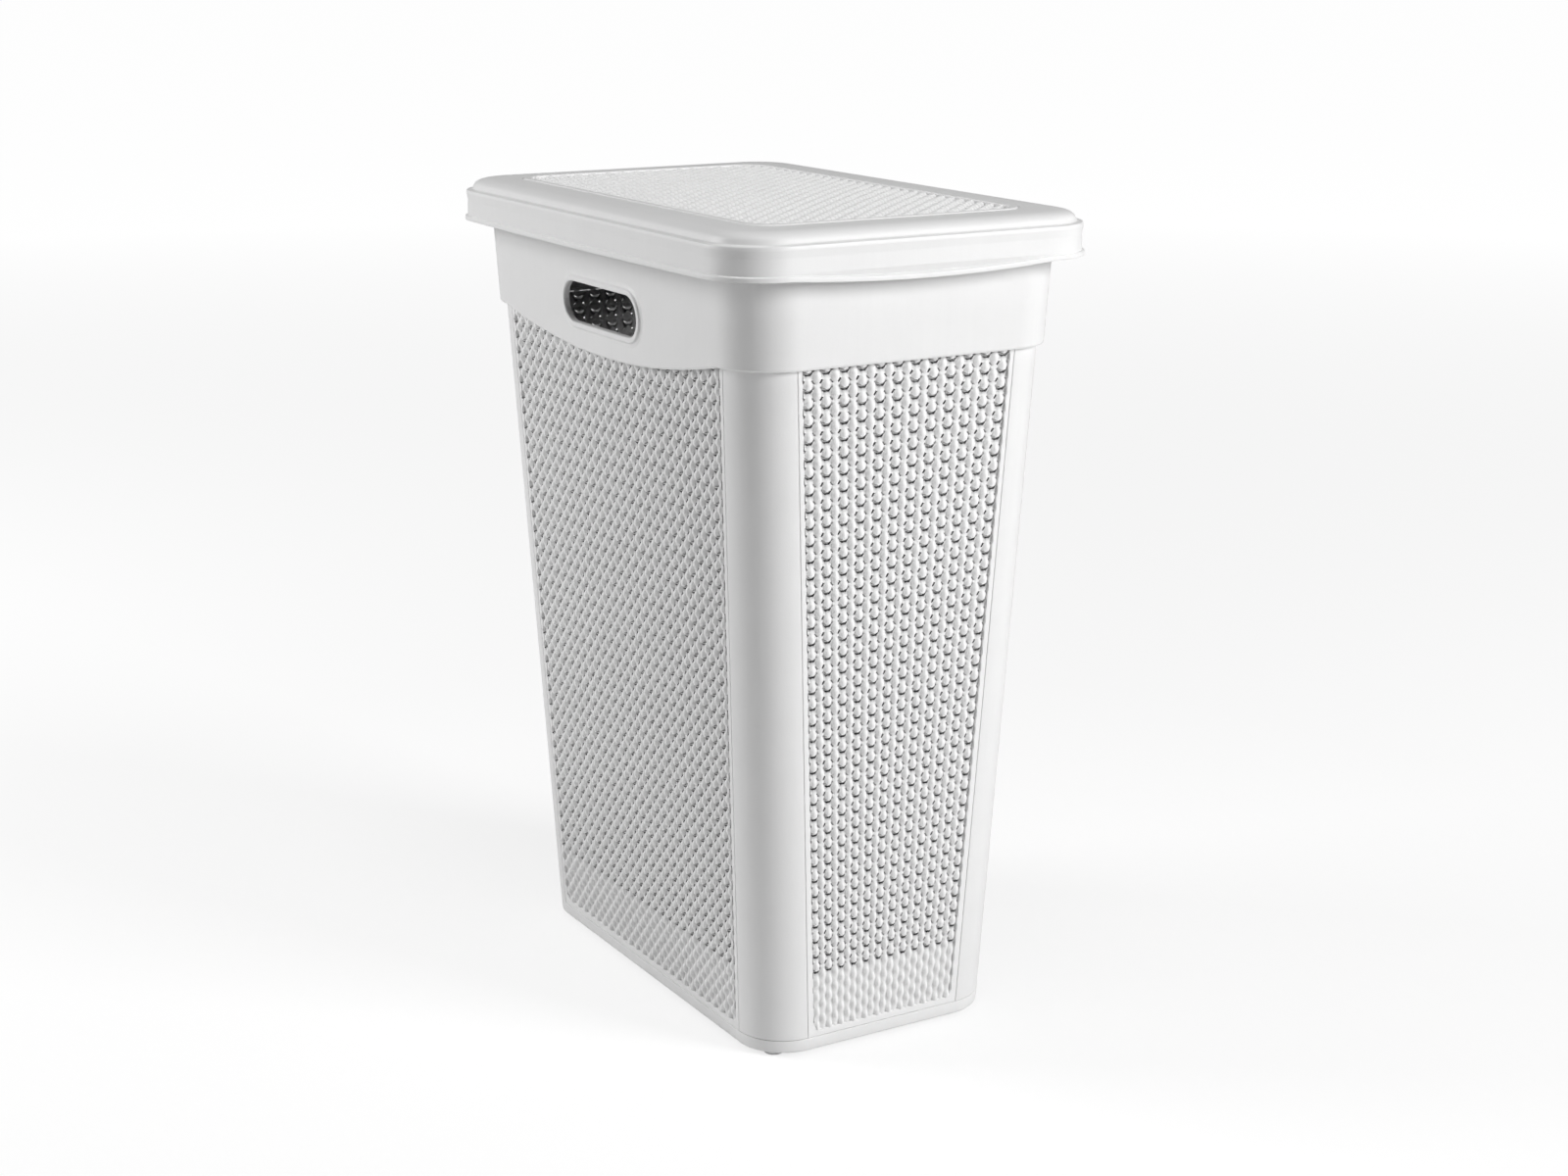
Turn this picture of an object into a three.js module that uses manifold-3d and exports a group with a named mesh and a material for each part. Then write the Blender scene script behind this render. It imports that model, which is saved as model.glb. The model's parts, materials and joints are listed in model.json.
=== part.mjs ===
// Laundry hamper with a hinged lid, in millimetres, +Z up.
// The origin is on the floor under the middle of the hamper. X is its width and Y its depth;
// the finger lip of the lid faces -Y and the hinge is at +Y.
//
// The tub is a tapered box with round corners: a base, four corner posts, four wall panels and a
// collar that stands proud of them. The lid is a moulded frame round a crowned panel, and turns on
// two pins behind the collar.

import * as THREE from 'three';
import Module from 'manifold-3d';
import { mergeVertices } from 'three/addons/utils/BufferGeometryUtils.js';

// ---- Driving dimensions -------------------------------------------------------------------------

// Tub
const BASE_WIDTH = 200; // outer width of the tub where the walls would meet the floor
const BASE_DEPTH = 360; // outer depth there
const RIM_HEIGHT = 594; // floor to the top edge of the collar
const DRAFT = 0.0478; // how far each wall leans out for each millimetre of height
const CORNER_RADIUS = 36.5; // outside corners, the same all the way up
const WALL = 2.5; // thickness of walls, floor and lid
const FOOT_HEIGHT = 3;
const FOOT_RADIUS = 8;
const FOOT_TAPER = 1; // how much smaller a foot is where it meets the floor
const BASE_HEIGHT = 10; // height of the base's upstanding edge above the feet
const SEAM = 0.3; // gap at each seam between pieces that touch

// Collar round the top of the tub
const COLLAR_HEIGHT = 88; // collar's lower edge to the rim, at the front and rear
const COLLAR_PROUD = 5; // how far it stands out from the walls
const COLLAR_DIP = 18; // how much lower its edge hangs under the handles
const COLLAR_LEDGE = 3; // thickness of the ledge that lies on top of the walls
const COLLAR_TURN_IN = 1.5; // chamfer along its lower edge
const RIM_CHAMFER = 1; // chamfer along its top edge

// Hand holes in the two long sides
const HANDLE_LENGTH = 115; // clear opening
const HANDLE_HEIGHT = 30;
const HANDLE_BELOW_RIM = 70; // rim to the middle of the opening
const BEZEL_WIDTH = 8; // width of the bead round the opening
const BEZEL_PROUD = 2;

// Lid
const LID_OVERHANG = 15.5; // lid outline beyond the collar at the rim
const LID_CORNER_RADIUS = 44;
const LID_SKIRT_DROP = 25.4; // rim down to the lid's lower edge at its corners
const LID_RISE = 6.5; // rim up to the border of the lid panel, and height of the dome
const LID_SLOPE = 2; // rise of the frame from the top of the dome to the panel
const LID_STEP = 1; // height of the ledge that the dome stands on
const LID_CROWN = 1.5; // how much the panel rises to its middle
const LID_LEDGE_INSET = 6.5; // lid outline to the foot of the dome
const LID_SHOULDER_INSET = 22; // lid outline to the top of the dome
const LID_PANEL_INSET = 43; // lid outline to the panel
const LID_PANEL_RADIUS = 22;
const LID_FRONT_DROOP = 4.3; // extra drop of the skirt at the middle of the front
const LID_SIDE_DROOP = 1; // the same at the sides and rear
const FINGER_SCOOP = 3.5; // depth of the hollow above the finger lip
const LIP_BAND = 1.2; // height of the upright band along the lid's lower edge
const FLARE_HEIGHT = 4; // lower edge up to the top of the flared lip
const FLARE_INSET = 1.8; // lid outline to the skirt there
const WAIST_HEIGHT = 10; // lower edge up to the skirt's narrowest level
const WAIST_INSET = 2.2;
const ROLL_HEIGHT = 3; // height of the rolled edge under the ledge
const ROLL_INSET = 1.6;

// Hinge
const HINGE_SPACING = 130; // middle of the left hinge to the middle of the right one
const PIN_RADIUS = 2.5;
const PIN_CLEARANCE = 0.6; // between the pin and the clip that turns on it
const CLIP_WIDTH = 24;
const CLIP_WALL = 1.7;
const EAR_THICKNESS = 4;
const EAR_CLEARANCE = 1; // between clip and ear, along the pin
const PIN_FROM_COLLAR = 7; // collar's rear face to the pin's axis
const PIN_ABOVE_LIP = 2.4; // lid's lower edge up to the pin's axis
const PLATE_THICKNESS = 1.2; // back plate that carries the ears
const PLATE_OVERLAP = 0.7; // how far the ears run into it
const EAR_MARGIN = 0.4; // clip's radius beyond the ear's

// Fineness of the faceted shapes
const ARC_STEPS = 6; // facets in each quarter turn of a corner
const LONG_STEPS = 12; // divisions of each long side
const SHORT_STEPS = 8; // divisions of each short side
const DOME_STEPS = 4;
const ROUND_STEPS = 24;

// Working lengths of the booleans
const MERGE_TOLERANCE = 1e-4;
const CUTTER_REACH = 10; // how far a hand hole's cutter runs to each side of the collar's face
const BORE_OVERRUN = 1; // how far a bore's cutter runs past each end
const LEAST_EDGE = 0.01; // keeps two corners of the collar's section apart where it has no dip

// ---- Derived levels and sizes -------------------------------------------------------------------

const FLOOR_Z = FOOT_HEIGHT;
const BASE_TOP = FOOT_HEIGHT + BASE_HEIGHT;
const LEDGE_Z = RIM_HEIGHT - COLLAR_HEIGHT;
const WALL_TOP = LEDGE_Z - SEAM;
const COLLAR_WALL_INSIDE = COLLAR_PROUD - WALL;

const halfWidth = (z) => BASE_WIDTH / 2 + DRAFT * z;
const halfDepth = (z) => BASE_DEPTH / 2 + DRAFT * z;

const LID_HALF_WIDTH = halfWidth(RIM_HEIGHT) + COLLAR_PROUD + LID_OVERHANG;
const LID_HALF_DEPTH = halfDepth(RIM_HEIGHT) + COLLAR_PROUD + LID_OVERHANG;
const LIP_Z = RIM_HEIGHT - LID_SKIRT_DROP;
const PANEL_BORDER_Z = RIM_HEIGHT + LID_RISE;
const SHOULDER_Z = PANEL_BORDER_Z - LID_SLOPE;
const DOME_FOOT_Z = SHOULDER_Z - LID_RISE;
const LEDGE_FOOT_Z = DOME_FOOT_Z - LID_STEP;

const PIN_Z = LIP_Z + PIN_ABOVE_LIP;
const PIN_Y = halfDepth(PIN_Z) + COLLAR_PROUD + PIN_FROM_COLLAR;

// ---- Outlines -----------------------------------------------------------------------------------

// A station is one direction round a rounded rectangle: (cx, cy) picks the corner centre or a place
// between two of them, (nx, ny) is the outward direction, and t runs -1..1 along a straight side.
function stationsRound() {
  const stations = [];
  const corners = [[1, 1], [-1, 1], [-1, -1], [1, -1]];
  corners.forEach(([cx, cy], i) => {
    for (let k = 0; k <= ARC_STEPS; k += 1) {
      const angle = (i + k / ARC_STEPS) * (Math.PI / 2);
      stations.push({ cx, cy, nx: Math.cos(angle), ny: Math.sin(angle), side: 'corner', t: 1 });
    }
    const [ex, ey] = corners[(i + 1) % 4];
    const along = ((i + 1) * Math.PI) / 2;
    const isLong = ex === cx;
    const steps = isLong ? LONG_STEPS : SHORT_STEPS;
    for (let k = 1; k < steps; k += 1) {
      const f = k / steps;
      stations.push({
        cx: cx + (ex - cx) * f,
        cy: cy + (ey - cy) * f,
        nx: Math.cos(along),
        ny: Math.sin(along),
        side: isLong ? 'long' : cy < 0 ? 'front' : 'rear',
        t: 2 * f - 1,
      });
    }
  });
  return stations;
}

const STATIONS = stationsRound();

// The point of a rounded rectangle {w, d, r} (half width, half depth, radius) at a station.
const outlinePoint = (s, { w, d, r, z }) => [
  s.cx * (w - r) + s.nx * r,
  s.cy * (d - r) + s.ny * r,
  z,
];

// The tub's wall outline at height z, moved out by offset.
const wallOutline = (z, offset) => ({
  w: halfWidth(z) + offset,
  d: halfDepth(z) + offset,
  r: CORNER_RADIUS + offset,
  z,
});

// The lid's outline at height z, moved in by inset.
const lidOutline = (z, inset) => ({
  w: LID_HALF_WIDTH - inset,
  d: LID_HALF_DEPTH - inset,
  r: Math.max(LID_CORNER_RADIUS - inset, LID_PANEL_RADIUS),
  z,
});

// How far a side sags at a station: 0 at its corners and the full amount at its middle.
const sag = (s) => 1 - s.t * s.t;

// ---- Solids -------------------------------------------------------------------------------------

// A geometry from points and triangles, turned right side out.
function solid(points, triangles) {
  const [a, b, c] = [new THREE.Vector3(), new THREE.Vector3(), new THREE.Vector3()];
  let volume = 0;
  for (const [i, j, k] of triangles) {
    a.fromArray(points[i]);
    b.fromArray(points[j]);
    c.fromArray(points[k]);
    volume += a.dot(b.cross(c));
  }
  const facing = volume < 0 ? triangles.map(([i, j, k]) => [i, k, j]) : triangles;
  const geometry = new THREE.BufferGeometry();
  geometry.setAttribute('position', new THREE.Float32BufferAttribute(points.flat(), 3));
  geometry.setIndex(facing.flat());
  return geometry;
}

// Two triangles across the quad a, b, c, d.
const quad = (a, b, c, d) => [[a, b, c], [a, c, d]];

// A closed ring: profile(station) gives its cross-section's outlines in order round the section.
function ringSolid(profile) {
  const sections = STATIONS.map((s) => profile(s).map((outline) => outlinePoint(s, outline)));
  const n = sections[0].length;
  const triangles = [];
  for (let i = 0; i < sections.length; i += 1) {
    const next = ((i + 1) % sections.length) * n;
    for (let k = 0; k < n; k += 1) {
      const up = (k + 1) % n;
      triangles.push(...quad(i * n + k, next + k, next + up, i * n + up));
    }
  }
  return solid(sections.flat(), triangles);
}

// A closed body through a stack of outlines, with its first and last ones closed across.
function stackSolid(outlines) {
  const count = STATIONS.length;
  const points = outlines.flatMap((o) => STATIONS.map((s) => outlinePoint(s, o)));
  const triangles = [];
  for (let row = 0; row + 1 < outlines.length; row += 1) {
    for (let i = 0; i < count; i += 1) {
      const next = (i + 1) % count;
      const [low, high] = [row * count, (row + 1) * count];
      triangles.push(...quad(low + i, low + next, high + next, high + i));
    }
  }
  const last = (outlines.length - 1) * count;
  points.push([0, 0, outlines[0].z], [0, 0, outlines.at(-1).z]);
  for (let i = 0; i < count; i += 1) {
    const next = (i + 1) % count;
    triangles.push([points.length - 2, next, i], [points.length - 1, last + i, last + next]);
  }
  return solid(points, triangles);
}

// A closed sheet between an outer and an inner grid of points, each [column][row].
function sheetSolid(outer, inner) {
  const [columns, rows] = [outer.length, outer[0].length];
  const points = [...outer.flat(), ...inner.flat()];
  const at = (side, i, j) => side * columns * rows + i * rows + j;
  const triangles = [];
  for (let i = 0; i + 1 < columns; i += 1) {
    for (let j = 0; j + 1 < rows; j += 1) {
      triangles.push(...quad(at(0, i, j), at(0, i + 1, j), at(0, i + 1, j + 1), at(0, i, j + 1)));
      triangles.push(...quad(at(1, i, j), at(1, i, j + 1), at(1, i + 1, j + 1), at(1, i + 1, j)));
    }
    const top = rows - 1;
    triangles.push(...quad(at(0, i, 0), at(1, i, 0), at(1, i + 1, 0), at(0, i + 1, 0)));
    triangles.push(...quad(at(0, i, top), at(0, i + 1, top), at(1, i + 1, top), at(1, i, top)));
  }
  const end = columns - 1;
  for (let j = 0; j + 1 < rows; j += 1) {
    triangles.push(...quad(at(0, 0, j), at(0, 0, j + 1), at(1, 0, j + 1), at(1, 0, j)));
    triangles.push(...quad(at(0, end, j), at(1, end, j), at(1, end, j + 1), at(0, end, j + 1)));
  }
  return solid(points, triangles);
}

// A stadium (a rectangle with round ends) in the plane, as a Shape; x is its long direction.
function stadium(length, height) {
  const shape = new THREE.Shape();
  const radius = height / 2;
  const straight = length / 2 - radius;
  shape.absarc(straight, 0, radius, -Math.PI / 2, Math.PI / 2, false);
  shape.absarc(-straight, 0, radius, Math.PI / 2, (3 * Math.PI) / 2, false);
  return shape;
}

// ---- Booleans -----------------------------------------------------------------------------------

const wasm = await Module();
wasm.setup();

// A closed geometry as a manifold.
function toManifold(geometry) {
  const bare = geometry.clone();
  bare.deleteAttribute('normal');
  bare.deleteAttribute('uv');
  const merged = mergeVertices(bare, MERGE_TOLERANCE);
  const mesh = new wasm.Mesh({
    numProp: 3,
    vertProperties: new Float32Array(merged.attributes.position.array),
    triVerts: new Uint32Array(merged.index.array),
  });
  return new wasm.Manifold(mesh);
}

// A manifold as a geometry.
function fromManifold(manifold) {
  const mesh = manifold.getMesh();
  const geometry = new THREE.BufferGeometry();
  geometry.setAttribute('position', new THREE.BufferAttribute(mesh.vertProperties, 3));
  geometry.setIndex(new THREE.BufferAttribute(mesh.triVerts, 1));
  return geometry;
}

const cut = (geometry, ...tools) =>
  fromManifold(tools.reduce((body, tool) => body.subtract(toManifold(tool)), toManifold(geometry)));

const join = (...geometries) =>
  fromManifold(geometries.map(toManifold).reduce((body, other) => body.add(other)));

// ---- Tub ----------------------------------------------------------------------------------------

// Floor with an upstanding edge that the posts and panels stand on.
function baseGeometry() {
  const top = BASE_TOP - SEAM;
  const inside = FLOOR_Z + WALL;
  return stackSolid([
    wallOutline(FLOOR_Z, 0),
    wallOutline(top, 0),
    wallOutline(top, -WALL),
    wallOutline(inside, -WALL),
  ]);
}

// One rounded corner of the tub, from the base to the collar; (sx, sy) is the corner's direction.
function postGeometry(sx, sy) {
  const column = (k, offset) => {
    const angle = (k / ARC_STEPS) * (Math.PI / 2);
    return [BASE_TOP, WALL_TOP].map((z) => {
      const { w, d, r } = wallOutline(z, offset);
      return [sx * (w - r + r * Math.cos(angle)), sy * (d - r + r * Math.sin(angle)), z];
    });
  };
  const steps = Array.from({ length: ARC_STEPS + 1 }, (_, k) => k);
  return sheetSolid(steps.map((k) => column(k, 0)), steps.map((k) => column(k, -WALL)));
}

// A flat wall panel between two posts; (nx, ny) is the way it faces.
function panelGeometry(nx, ny) {
  const column = (end, offset) => [BASE_TOP, WALL_TOP].map((z) => {
    const { w, d, r } = wallOutline(z, offset);
    const across = nx !== 0 ? d - r - SEAM : w - r - SEAM;
    return nx !== 0 ? [nx * w, end * across, z] : [end * across, ny * d, z];
  });
  return sheetSolid([-1, 1].map((e) => column(e, 0)), [-1, 1].map((e) => column(e, -WALL)));
}

// A short pad under each corner of the base.
function footGeometry(sx, sy) {
  const { w, d, r } = wallOutline(FLOOR_Z, 0);
  const reach = (r - FOOT_RADIUS - WALL) / Math.SQRT2;
  const height = FOOT_HEIGHT - SEAM;
  const sole = FOOT_RADIUS - FOOT_TAPER;
  const foot = new THREE.CylinderGeometry(FOOT_RADIUS, sole, height, ROUND_STEPS);
  foot.rotateX(Math.PI / 2);
  foot.translate(sx * (w - r + reach), sy * (d - r + reach), height / 2);
  return foot;
}

// The prism of a hand hole's outline through one long side; sx is the side's direction.
function handlePrism(sx, length, height, inner, outer) {
  const z = RIM_HEIGHT - HANDLE_BELOW_RIM;
  const prism = new THREE.ExtrudeGeometry(stadium(length, height), {
    depth: outer - inner,
    bevelEnabled: false,
    curveSegments: ROUND_STEPS / 4,
  });
  prism.translate(0, 0, inner);
  prism.applyMatrix4(
    new THREE.Matrix4().makeBasis(
      new THREE.Vector3(0, sx, 0),
      new THREE.Vector3(0, 0, 1),
      new THREE.Vector3(sx, 0, 0),
    ),
  );
  prism.applyMatrix4(new THREE.Matrix4().makeRotationY(sx * Math.atan(DRAFT)));
  prism.translate(sx * (halfWidth(z) + COLLAR_PROUD), 0, z);
  return prism;
}

const BEZEL_LENGTH = HANDLE_LENGTH + 2 * BEZEL_WIDTH;
const BEZEL_HEIGHT = HANDLE_HEIGHT + 2 * BEZEL_WIDTH;

// The collar: a skirt outside the walls, a ledge on top of them, and a hand hole in each long side.
function collarGeometry() {
  const ring = ringSolid((s) => {
    const edge = LEDGE_Z - (s.side === 'long' ? COLLAR_DIP * sag(s) : 0);
    const inside = COLLAR_WALL_INSIDE;
    return [
      wallOutline(edge + COLLAR_TURN_IN, COLLAR_PROUD),
      wallOutline(RIM_HEIGHT - RIM_CHAMFER, COLLAR_PROUD),
      wallOutline(RIM_HEIGHT, COLLAR_PROUD - RIM_CHAMFER),
      wallOutline(RIM_HEIGHT, inside),
      wallOutline(LEDGE_Z + COLLAR_LEDGE, inside),
      wallOutline(LEDGE_Z + COLLAR_LEDGE, -WALL),
      wallOutline(LEDGE_Z, -WALL),
      wallOutline(LEDGE_Z, inside),
      wallOutline(edge - LEAST_EDGE, inside),
      wallOutline(edge - LEAST_EDGE, COLLAR_PROUD - COLLAR_TURN_IN / 2),
    ];
  });
  const [length, height] = [BEZEL_LENGTH + 2 * SEAM, BEZEL_HEIGHT + 2 * SEAM];
  const tools = [-1, 1].map((sx) =>
    handlePrism(sx, length, height, -CUTTER_REACH, CUTTER_REACH));
  return cut(ring, ...tools);
}

// The bead that lines a hand hole and stands proud of the collar.
function bezelGeometry(sx) {
  const body = handlePrism(sx, BEZEL_LENGTH, BEZEL_HEIGHT, -WALL, BEZEL_PROUD);
  const hole = handlePrism(sx, HANDLE_LENGTH, HANDLE_HEIGHT, -CUTTER_REACH, CUTTER_REACH);
  return cut(body, hole);
}

// ---- Lid ----------------------------------------------------------------------------------------

// The dome's section from its foot to its shoulder, as {inset, z}, on a surface set in by depth.
function domeSection(depth) {
  const reach = LID_SHOULDER_INSET - LID_LEDGE_INSET - depth;
  return Array.from({ length: DOME_STEPS + 1 }, (_, k) => {
    const angle = (k / DOME_STEPS) * (Math.PI / 2);
    const inset = LID_SHOULDER_INSET - reach * Math.cos(angle);
    return { inset, z: DOME_FOOT_Z - depth + LID_RISE * Math.sin(angle) };
  });
}

// The height of the lid's underside at an inset from its outline, within the dome.
function ceilingAt(inset) {
  const section = domeSection(WALL);
  const above = section.findIndex((p) => p.inset >= inset);
  const [a, b] = [section[above - 1], section[above]];
  return a.z + ((b.z - a.z) * (inset - a.inset)) / (b.inset - a.inset);
}

// The lid's moulded frame: a skirt with a flared lip, a ledge, a dome and a border for the panel.
function lidFrameGeometry() {
  return ringSolid((s) => {
    const droop = s.side === 'front' ? LID_FRONT_DROOP : LID_SIDE_DROOP;
    const lip = LIP_Z - (s.side === 'corner' ? 0 : droop * sag(s));
    const scoop = s.side === 'front' ? FINGER_SCOOP * sag(s) : 0;
    const outer = [
      lidOutline(lip, 0),
      lidOutline(lip + LIP_BAND, 0),
      lidOutline(lip + FLARE_HEIGHT, FLARE_INSET + scoop),
      lidOutline(lip + WAIST_HEIGHT, WAIST_INSET + scoop),
      lidOutline(LEDGE_FOOT_Z - ROLL_HEIGHT, ROLL_INSET),
      lidOutline(LEDGE_FOOT_Z, WAIST_INSET),
    ];
    const onLid = ({ inset, z }) => lidOutline(z, inset);
    outer.push(...domeSection(0).map(onLid), lidOutline(PANEL_BORDER_Z, LID_PANEL_INSET));
    const inner = [
      lidOutline(PANEL_BORDER_Z - WALL, LID_PANEL_INSET),
      ...domeSection(WALL).map(onLid).reverse(),
      lidOutline(LEDGE_FOOT_Z - ROLL_HEIGHT, ROLL_INSET + WALL),
      lidOutline(lip + WAIST_HEIGHT, WAIST_INSET + WALL + scoop),
      lidOutline(lip + FLARE_HEIGHT, FLARE_INSET + WALL + scoop),
      lidOutline(lip, WALL),
    ];
    return [...outer, ...inner];
  });
}

// The crowned panel inside the lid's frame.
function lidPanelGeometry() {
  const edge = LID_PANEL_INSET + SEAM;
  const { w, d, r } = lidOutline(0, edge);
  const ring = (share, thickness) => ({
    w: r + (w - r) * share,
    d: r + (d - r) * share,
    r,
    z: PANEL_BORDER_Z - thickness + LID_CROWN * (1 - share * share),
  });
  return stackSolid([
    ring(0, WALL),
    ring(0.5, WALL),
    ring(1, WALL),
    ring(1, 0),
    ring(0.5, 0),
    ring(0, 0),
  ]);
}

// ---- Hinge --------------------------------------------------------------------------------------

// A cylinder along X, centred on the pin's axis.
function axisCylinder(radius, length, x) {
  const cylinder = new THREE.CylinderGeometry(radius, radius, length, ROUND_STEPS);
  cylinder.rotateZ(Math.PI / 2);
  cylinder.translate(x, PIN_Y, PIN_Z);
  return cylinder;
}

// A box from its lowest and highest corners.
function boxBetween(low, high) {
  const size = high.map((v, i) => v - low[i]);
  const box = new THREE.BoxGeometry(...size);
  box.translate(...low.map((v, i) => v + size[i] / 2));
  return box;
}

const EAR_RADIUS = PIN_RADIUS + PIN_CLEARANCE + CLIP_WALL - EAR_MARGIN;
const EAR_INSIDE = CLIP_WIDTH / 2 + EAR_CLEARANCE;
const EAR_OUTSIDE = EAR_INSIDE + EAR_THICKNESS;
const EAR_TOP = PIN_Z + EAR_RADIUS;
const BACKPLATE_Y = halfDepth(EAR_TOP) + COLLAR_PROUD + SEAM;

// Two ears on a back plate behind the collar, with the hinge pin between them.
function bracketGeometry(x) {
  const plate = boxBetween(
    [x - EAR_OUTSIDE, BACKPLATE_Y, PIN_Z - EAR_RADIUS],
    [x + EAR_OUTSIDE, BACKPLATE_Y + PLATE_THICKNESS, EAR_TOP],
  );
  const root = BACKPLATE_Y + PLATE_THICKNESS - PLATE_OVERLAP;
  const ears = [-1, 1].flatMap((side) => {
    const middle = x + (side * (EAR_INSIDE + EAR_OUTSIDE)) / 2;
    const arm = boxBetween(
      [middle - EAR_THICKNESS / 2, root, PIN_Z - EAR_RADIUS],
      [middle + EAR_THICKNESS / 2, PIN_Y, EAR_TOP],
    );
    return [arm, axisCylinder(EAR_RADIUS, EAR_THICKNESS, middle)];
  });
  return join(plate, ...ears, axisCylinder(PIN_RADIUS, 2 * EAR_OUTSIDE, x));
}

// A clip that turns on the pin, with a web up to the underside of the lid.
function clipGeometry(x) {
  const bore = PIN_RADIUS + PIN_CLEARANCE;
  const barrel = axisCylinder(bore + CLIP_WALL, CLIP_WIDTH, x);
  const web = boxBetween(
    [x - CLIP_WIDTH / 2, PIN_Y - CLIP_WALL, PIN_Z],
    [x + CLIP_WIDTH / 2, PIN_Y, ceilingAt(LID_HALF_DEPTH - PIN_Y) - SEAM],
  );
  return cut(join(barrel, web), axisCylinder(bore, CLIP_WIDTH + 2 * BORE_OVERRUN, x));
}

// ---- Assembly -----------------------------------------------------------------------------------

const plastic = (color, roughness) =>
  new THREE.MeshStandardMaterial({ color, roughness, metalness: 0 });

const FINISH = {
  smooth: () => plastic(0xe9e9e9, 0.42),
  panel: () => plastic(0xe4e4e4, 0.5),
  small: () => plastic(0xdedede, 0.5),
};

const hamper = new THREE.Group();
const tub = new THREE.Group();
const lid = new THREE.Group();
hamper.add(tub, lid);

function place(group, name, geometry, material) {
  const mesh = new THREE.Mesh(geometry, material);
  mesh.name = name;
  group.add(mesh);
}

const CORNERS = [
  ['front_left', -1, -1],
  ['front_right', 1, -1],
  ['rear_left', -1, 1],
  ['rear_right', 1, 1],
];
const SIDES = [['left', -1], ['right', 1]];

place(tub, 'base', baseGeometry(), FINISH.smooth());
for (const [name, sx, sy] of CORNERS) {
  place(tub, `corner_post_${name}`, postGeometry(sx, sy), FINISH.smooth());
  place(tub, `foot_${name}`, footGeometry(sx, sy), FINISH.small());
}
place(tub, 'front_panel', panelGeometry(0, -1), FINISH.panel());
place(tub, 'rear_panel', panelGeometry(0, 1), FINISH.panel());
for (const [name, sx] of SIDES) {
  place(tub, `${name}_panel`, panelGeometry(sx, 0), FINISH.panel());
}
place(tub, 'collar', collarGeometry(), FINISH.smooth());
for (const [name, sx] of SIDES) {
  place(tub, `handle_bezel_${name}`, bezelGeometry(sx), FINISH.smooth());
  place(tub, `hinge_bracket_${name}`, bracketGeometry((sx * HINGE_SPACING) / 2), FINISH.small());
}

place(lid, 'lid_frame', lidFrameGeometry(), FINISH.smooth());
place(lid, 'lid_panel', lidPanelGeometry(), FINISH.panel());
for (const [name, sx] of SIDES) {
  place(lid, `lid_clip_${name}`, clipGeometry((sx * HINGE_SPACING) / 2), FINISH.small());
}

export default hamper;
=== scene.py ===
"""Looks of a laundry hamper with a hinged lid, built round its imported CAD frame.

Everything is in metres, in the frame's own axes: Z is up, the narrow front faces -Y and
the long sides face -X and +X. The lid turns on a pin at the rear.
"""

from __future__ import annotations

import json
import logging
import math
from dataclasses import dataclass, field
from enum import Enum
from typing import Callable, Iterable, Sequence

import bmesh
import bpy
from bpy.types import Material, Mesh, Node, NodeSocket, NodeTree, Object, World
from mathutils import Matrix, Vector
from mathutils.geometry import delaunay_2d_cdt

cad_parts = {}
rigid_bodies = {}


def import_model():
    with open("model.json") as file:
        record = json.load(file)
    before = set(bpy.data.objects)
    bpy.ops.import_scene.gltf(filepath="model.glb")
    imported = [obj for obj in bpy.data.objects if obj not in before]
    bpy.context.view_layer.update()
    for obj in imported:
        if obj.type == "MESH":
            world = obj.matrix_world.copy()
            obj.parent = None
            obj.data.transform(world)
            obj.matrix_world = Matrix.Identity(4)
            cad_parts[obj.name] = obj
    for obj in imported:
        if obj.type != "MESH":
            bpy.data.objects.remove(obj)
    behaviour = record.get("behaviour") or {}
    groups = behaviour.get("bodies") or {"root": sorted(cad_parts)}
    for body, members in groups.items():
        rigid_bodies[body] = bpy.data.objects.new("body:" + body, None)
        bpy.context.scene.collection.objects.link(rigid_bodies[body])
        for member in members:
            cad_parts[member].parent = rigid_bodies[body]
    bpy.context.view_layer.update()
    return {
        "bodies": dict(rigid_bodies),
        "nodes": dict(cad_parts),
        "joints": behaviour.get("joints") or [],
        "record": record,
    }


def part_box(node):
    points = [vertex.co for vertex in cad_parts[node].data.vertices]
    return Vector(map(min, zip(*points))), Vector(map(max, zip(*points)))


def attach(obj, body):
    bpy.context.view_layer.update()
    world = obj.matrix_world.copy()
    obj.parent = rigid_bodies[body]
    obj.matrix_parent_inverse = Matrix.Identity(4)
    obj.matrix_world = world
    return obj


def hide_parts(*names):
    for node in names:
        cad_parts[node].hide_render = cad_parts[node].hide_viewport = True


LOG = logging.getLogger("hamper")
MM = 0.001
QUARTER = math.pi / 2
WELD = 0.002 * MM
SLIVER = 0.01 * MM
BEVEL_ANGLE = math.radians(38)
SHARP_ANGLE = math.radians(40.0)
FLAT_ANGLE = math.radians(1.0)
LEAST = 1e-6

Point2 = tuple[float, float]
Point3 = tuple[float, float, float]


# ---- Shared sizes ----


class Side(Enum):
    """The four walls of the tub, as quarter turns about Z from the front."""

    FRONT = 0
    RIGHT = 1
    REAR = 2
    LEFT = 3

    @property
    def is_long(self) -> bool:
        """Whether this is one of the two long walls."""
        return self in (Side.LEFT, Side.RIGHT)

    @property
    def turn(self) -> Matrix:
        """The turn that brings a wall built at the front to this side."""
        return Matrix.Rotation(self.value * QUARTER, 4, "Z")


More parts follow.
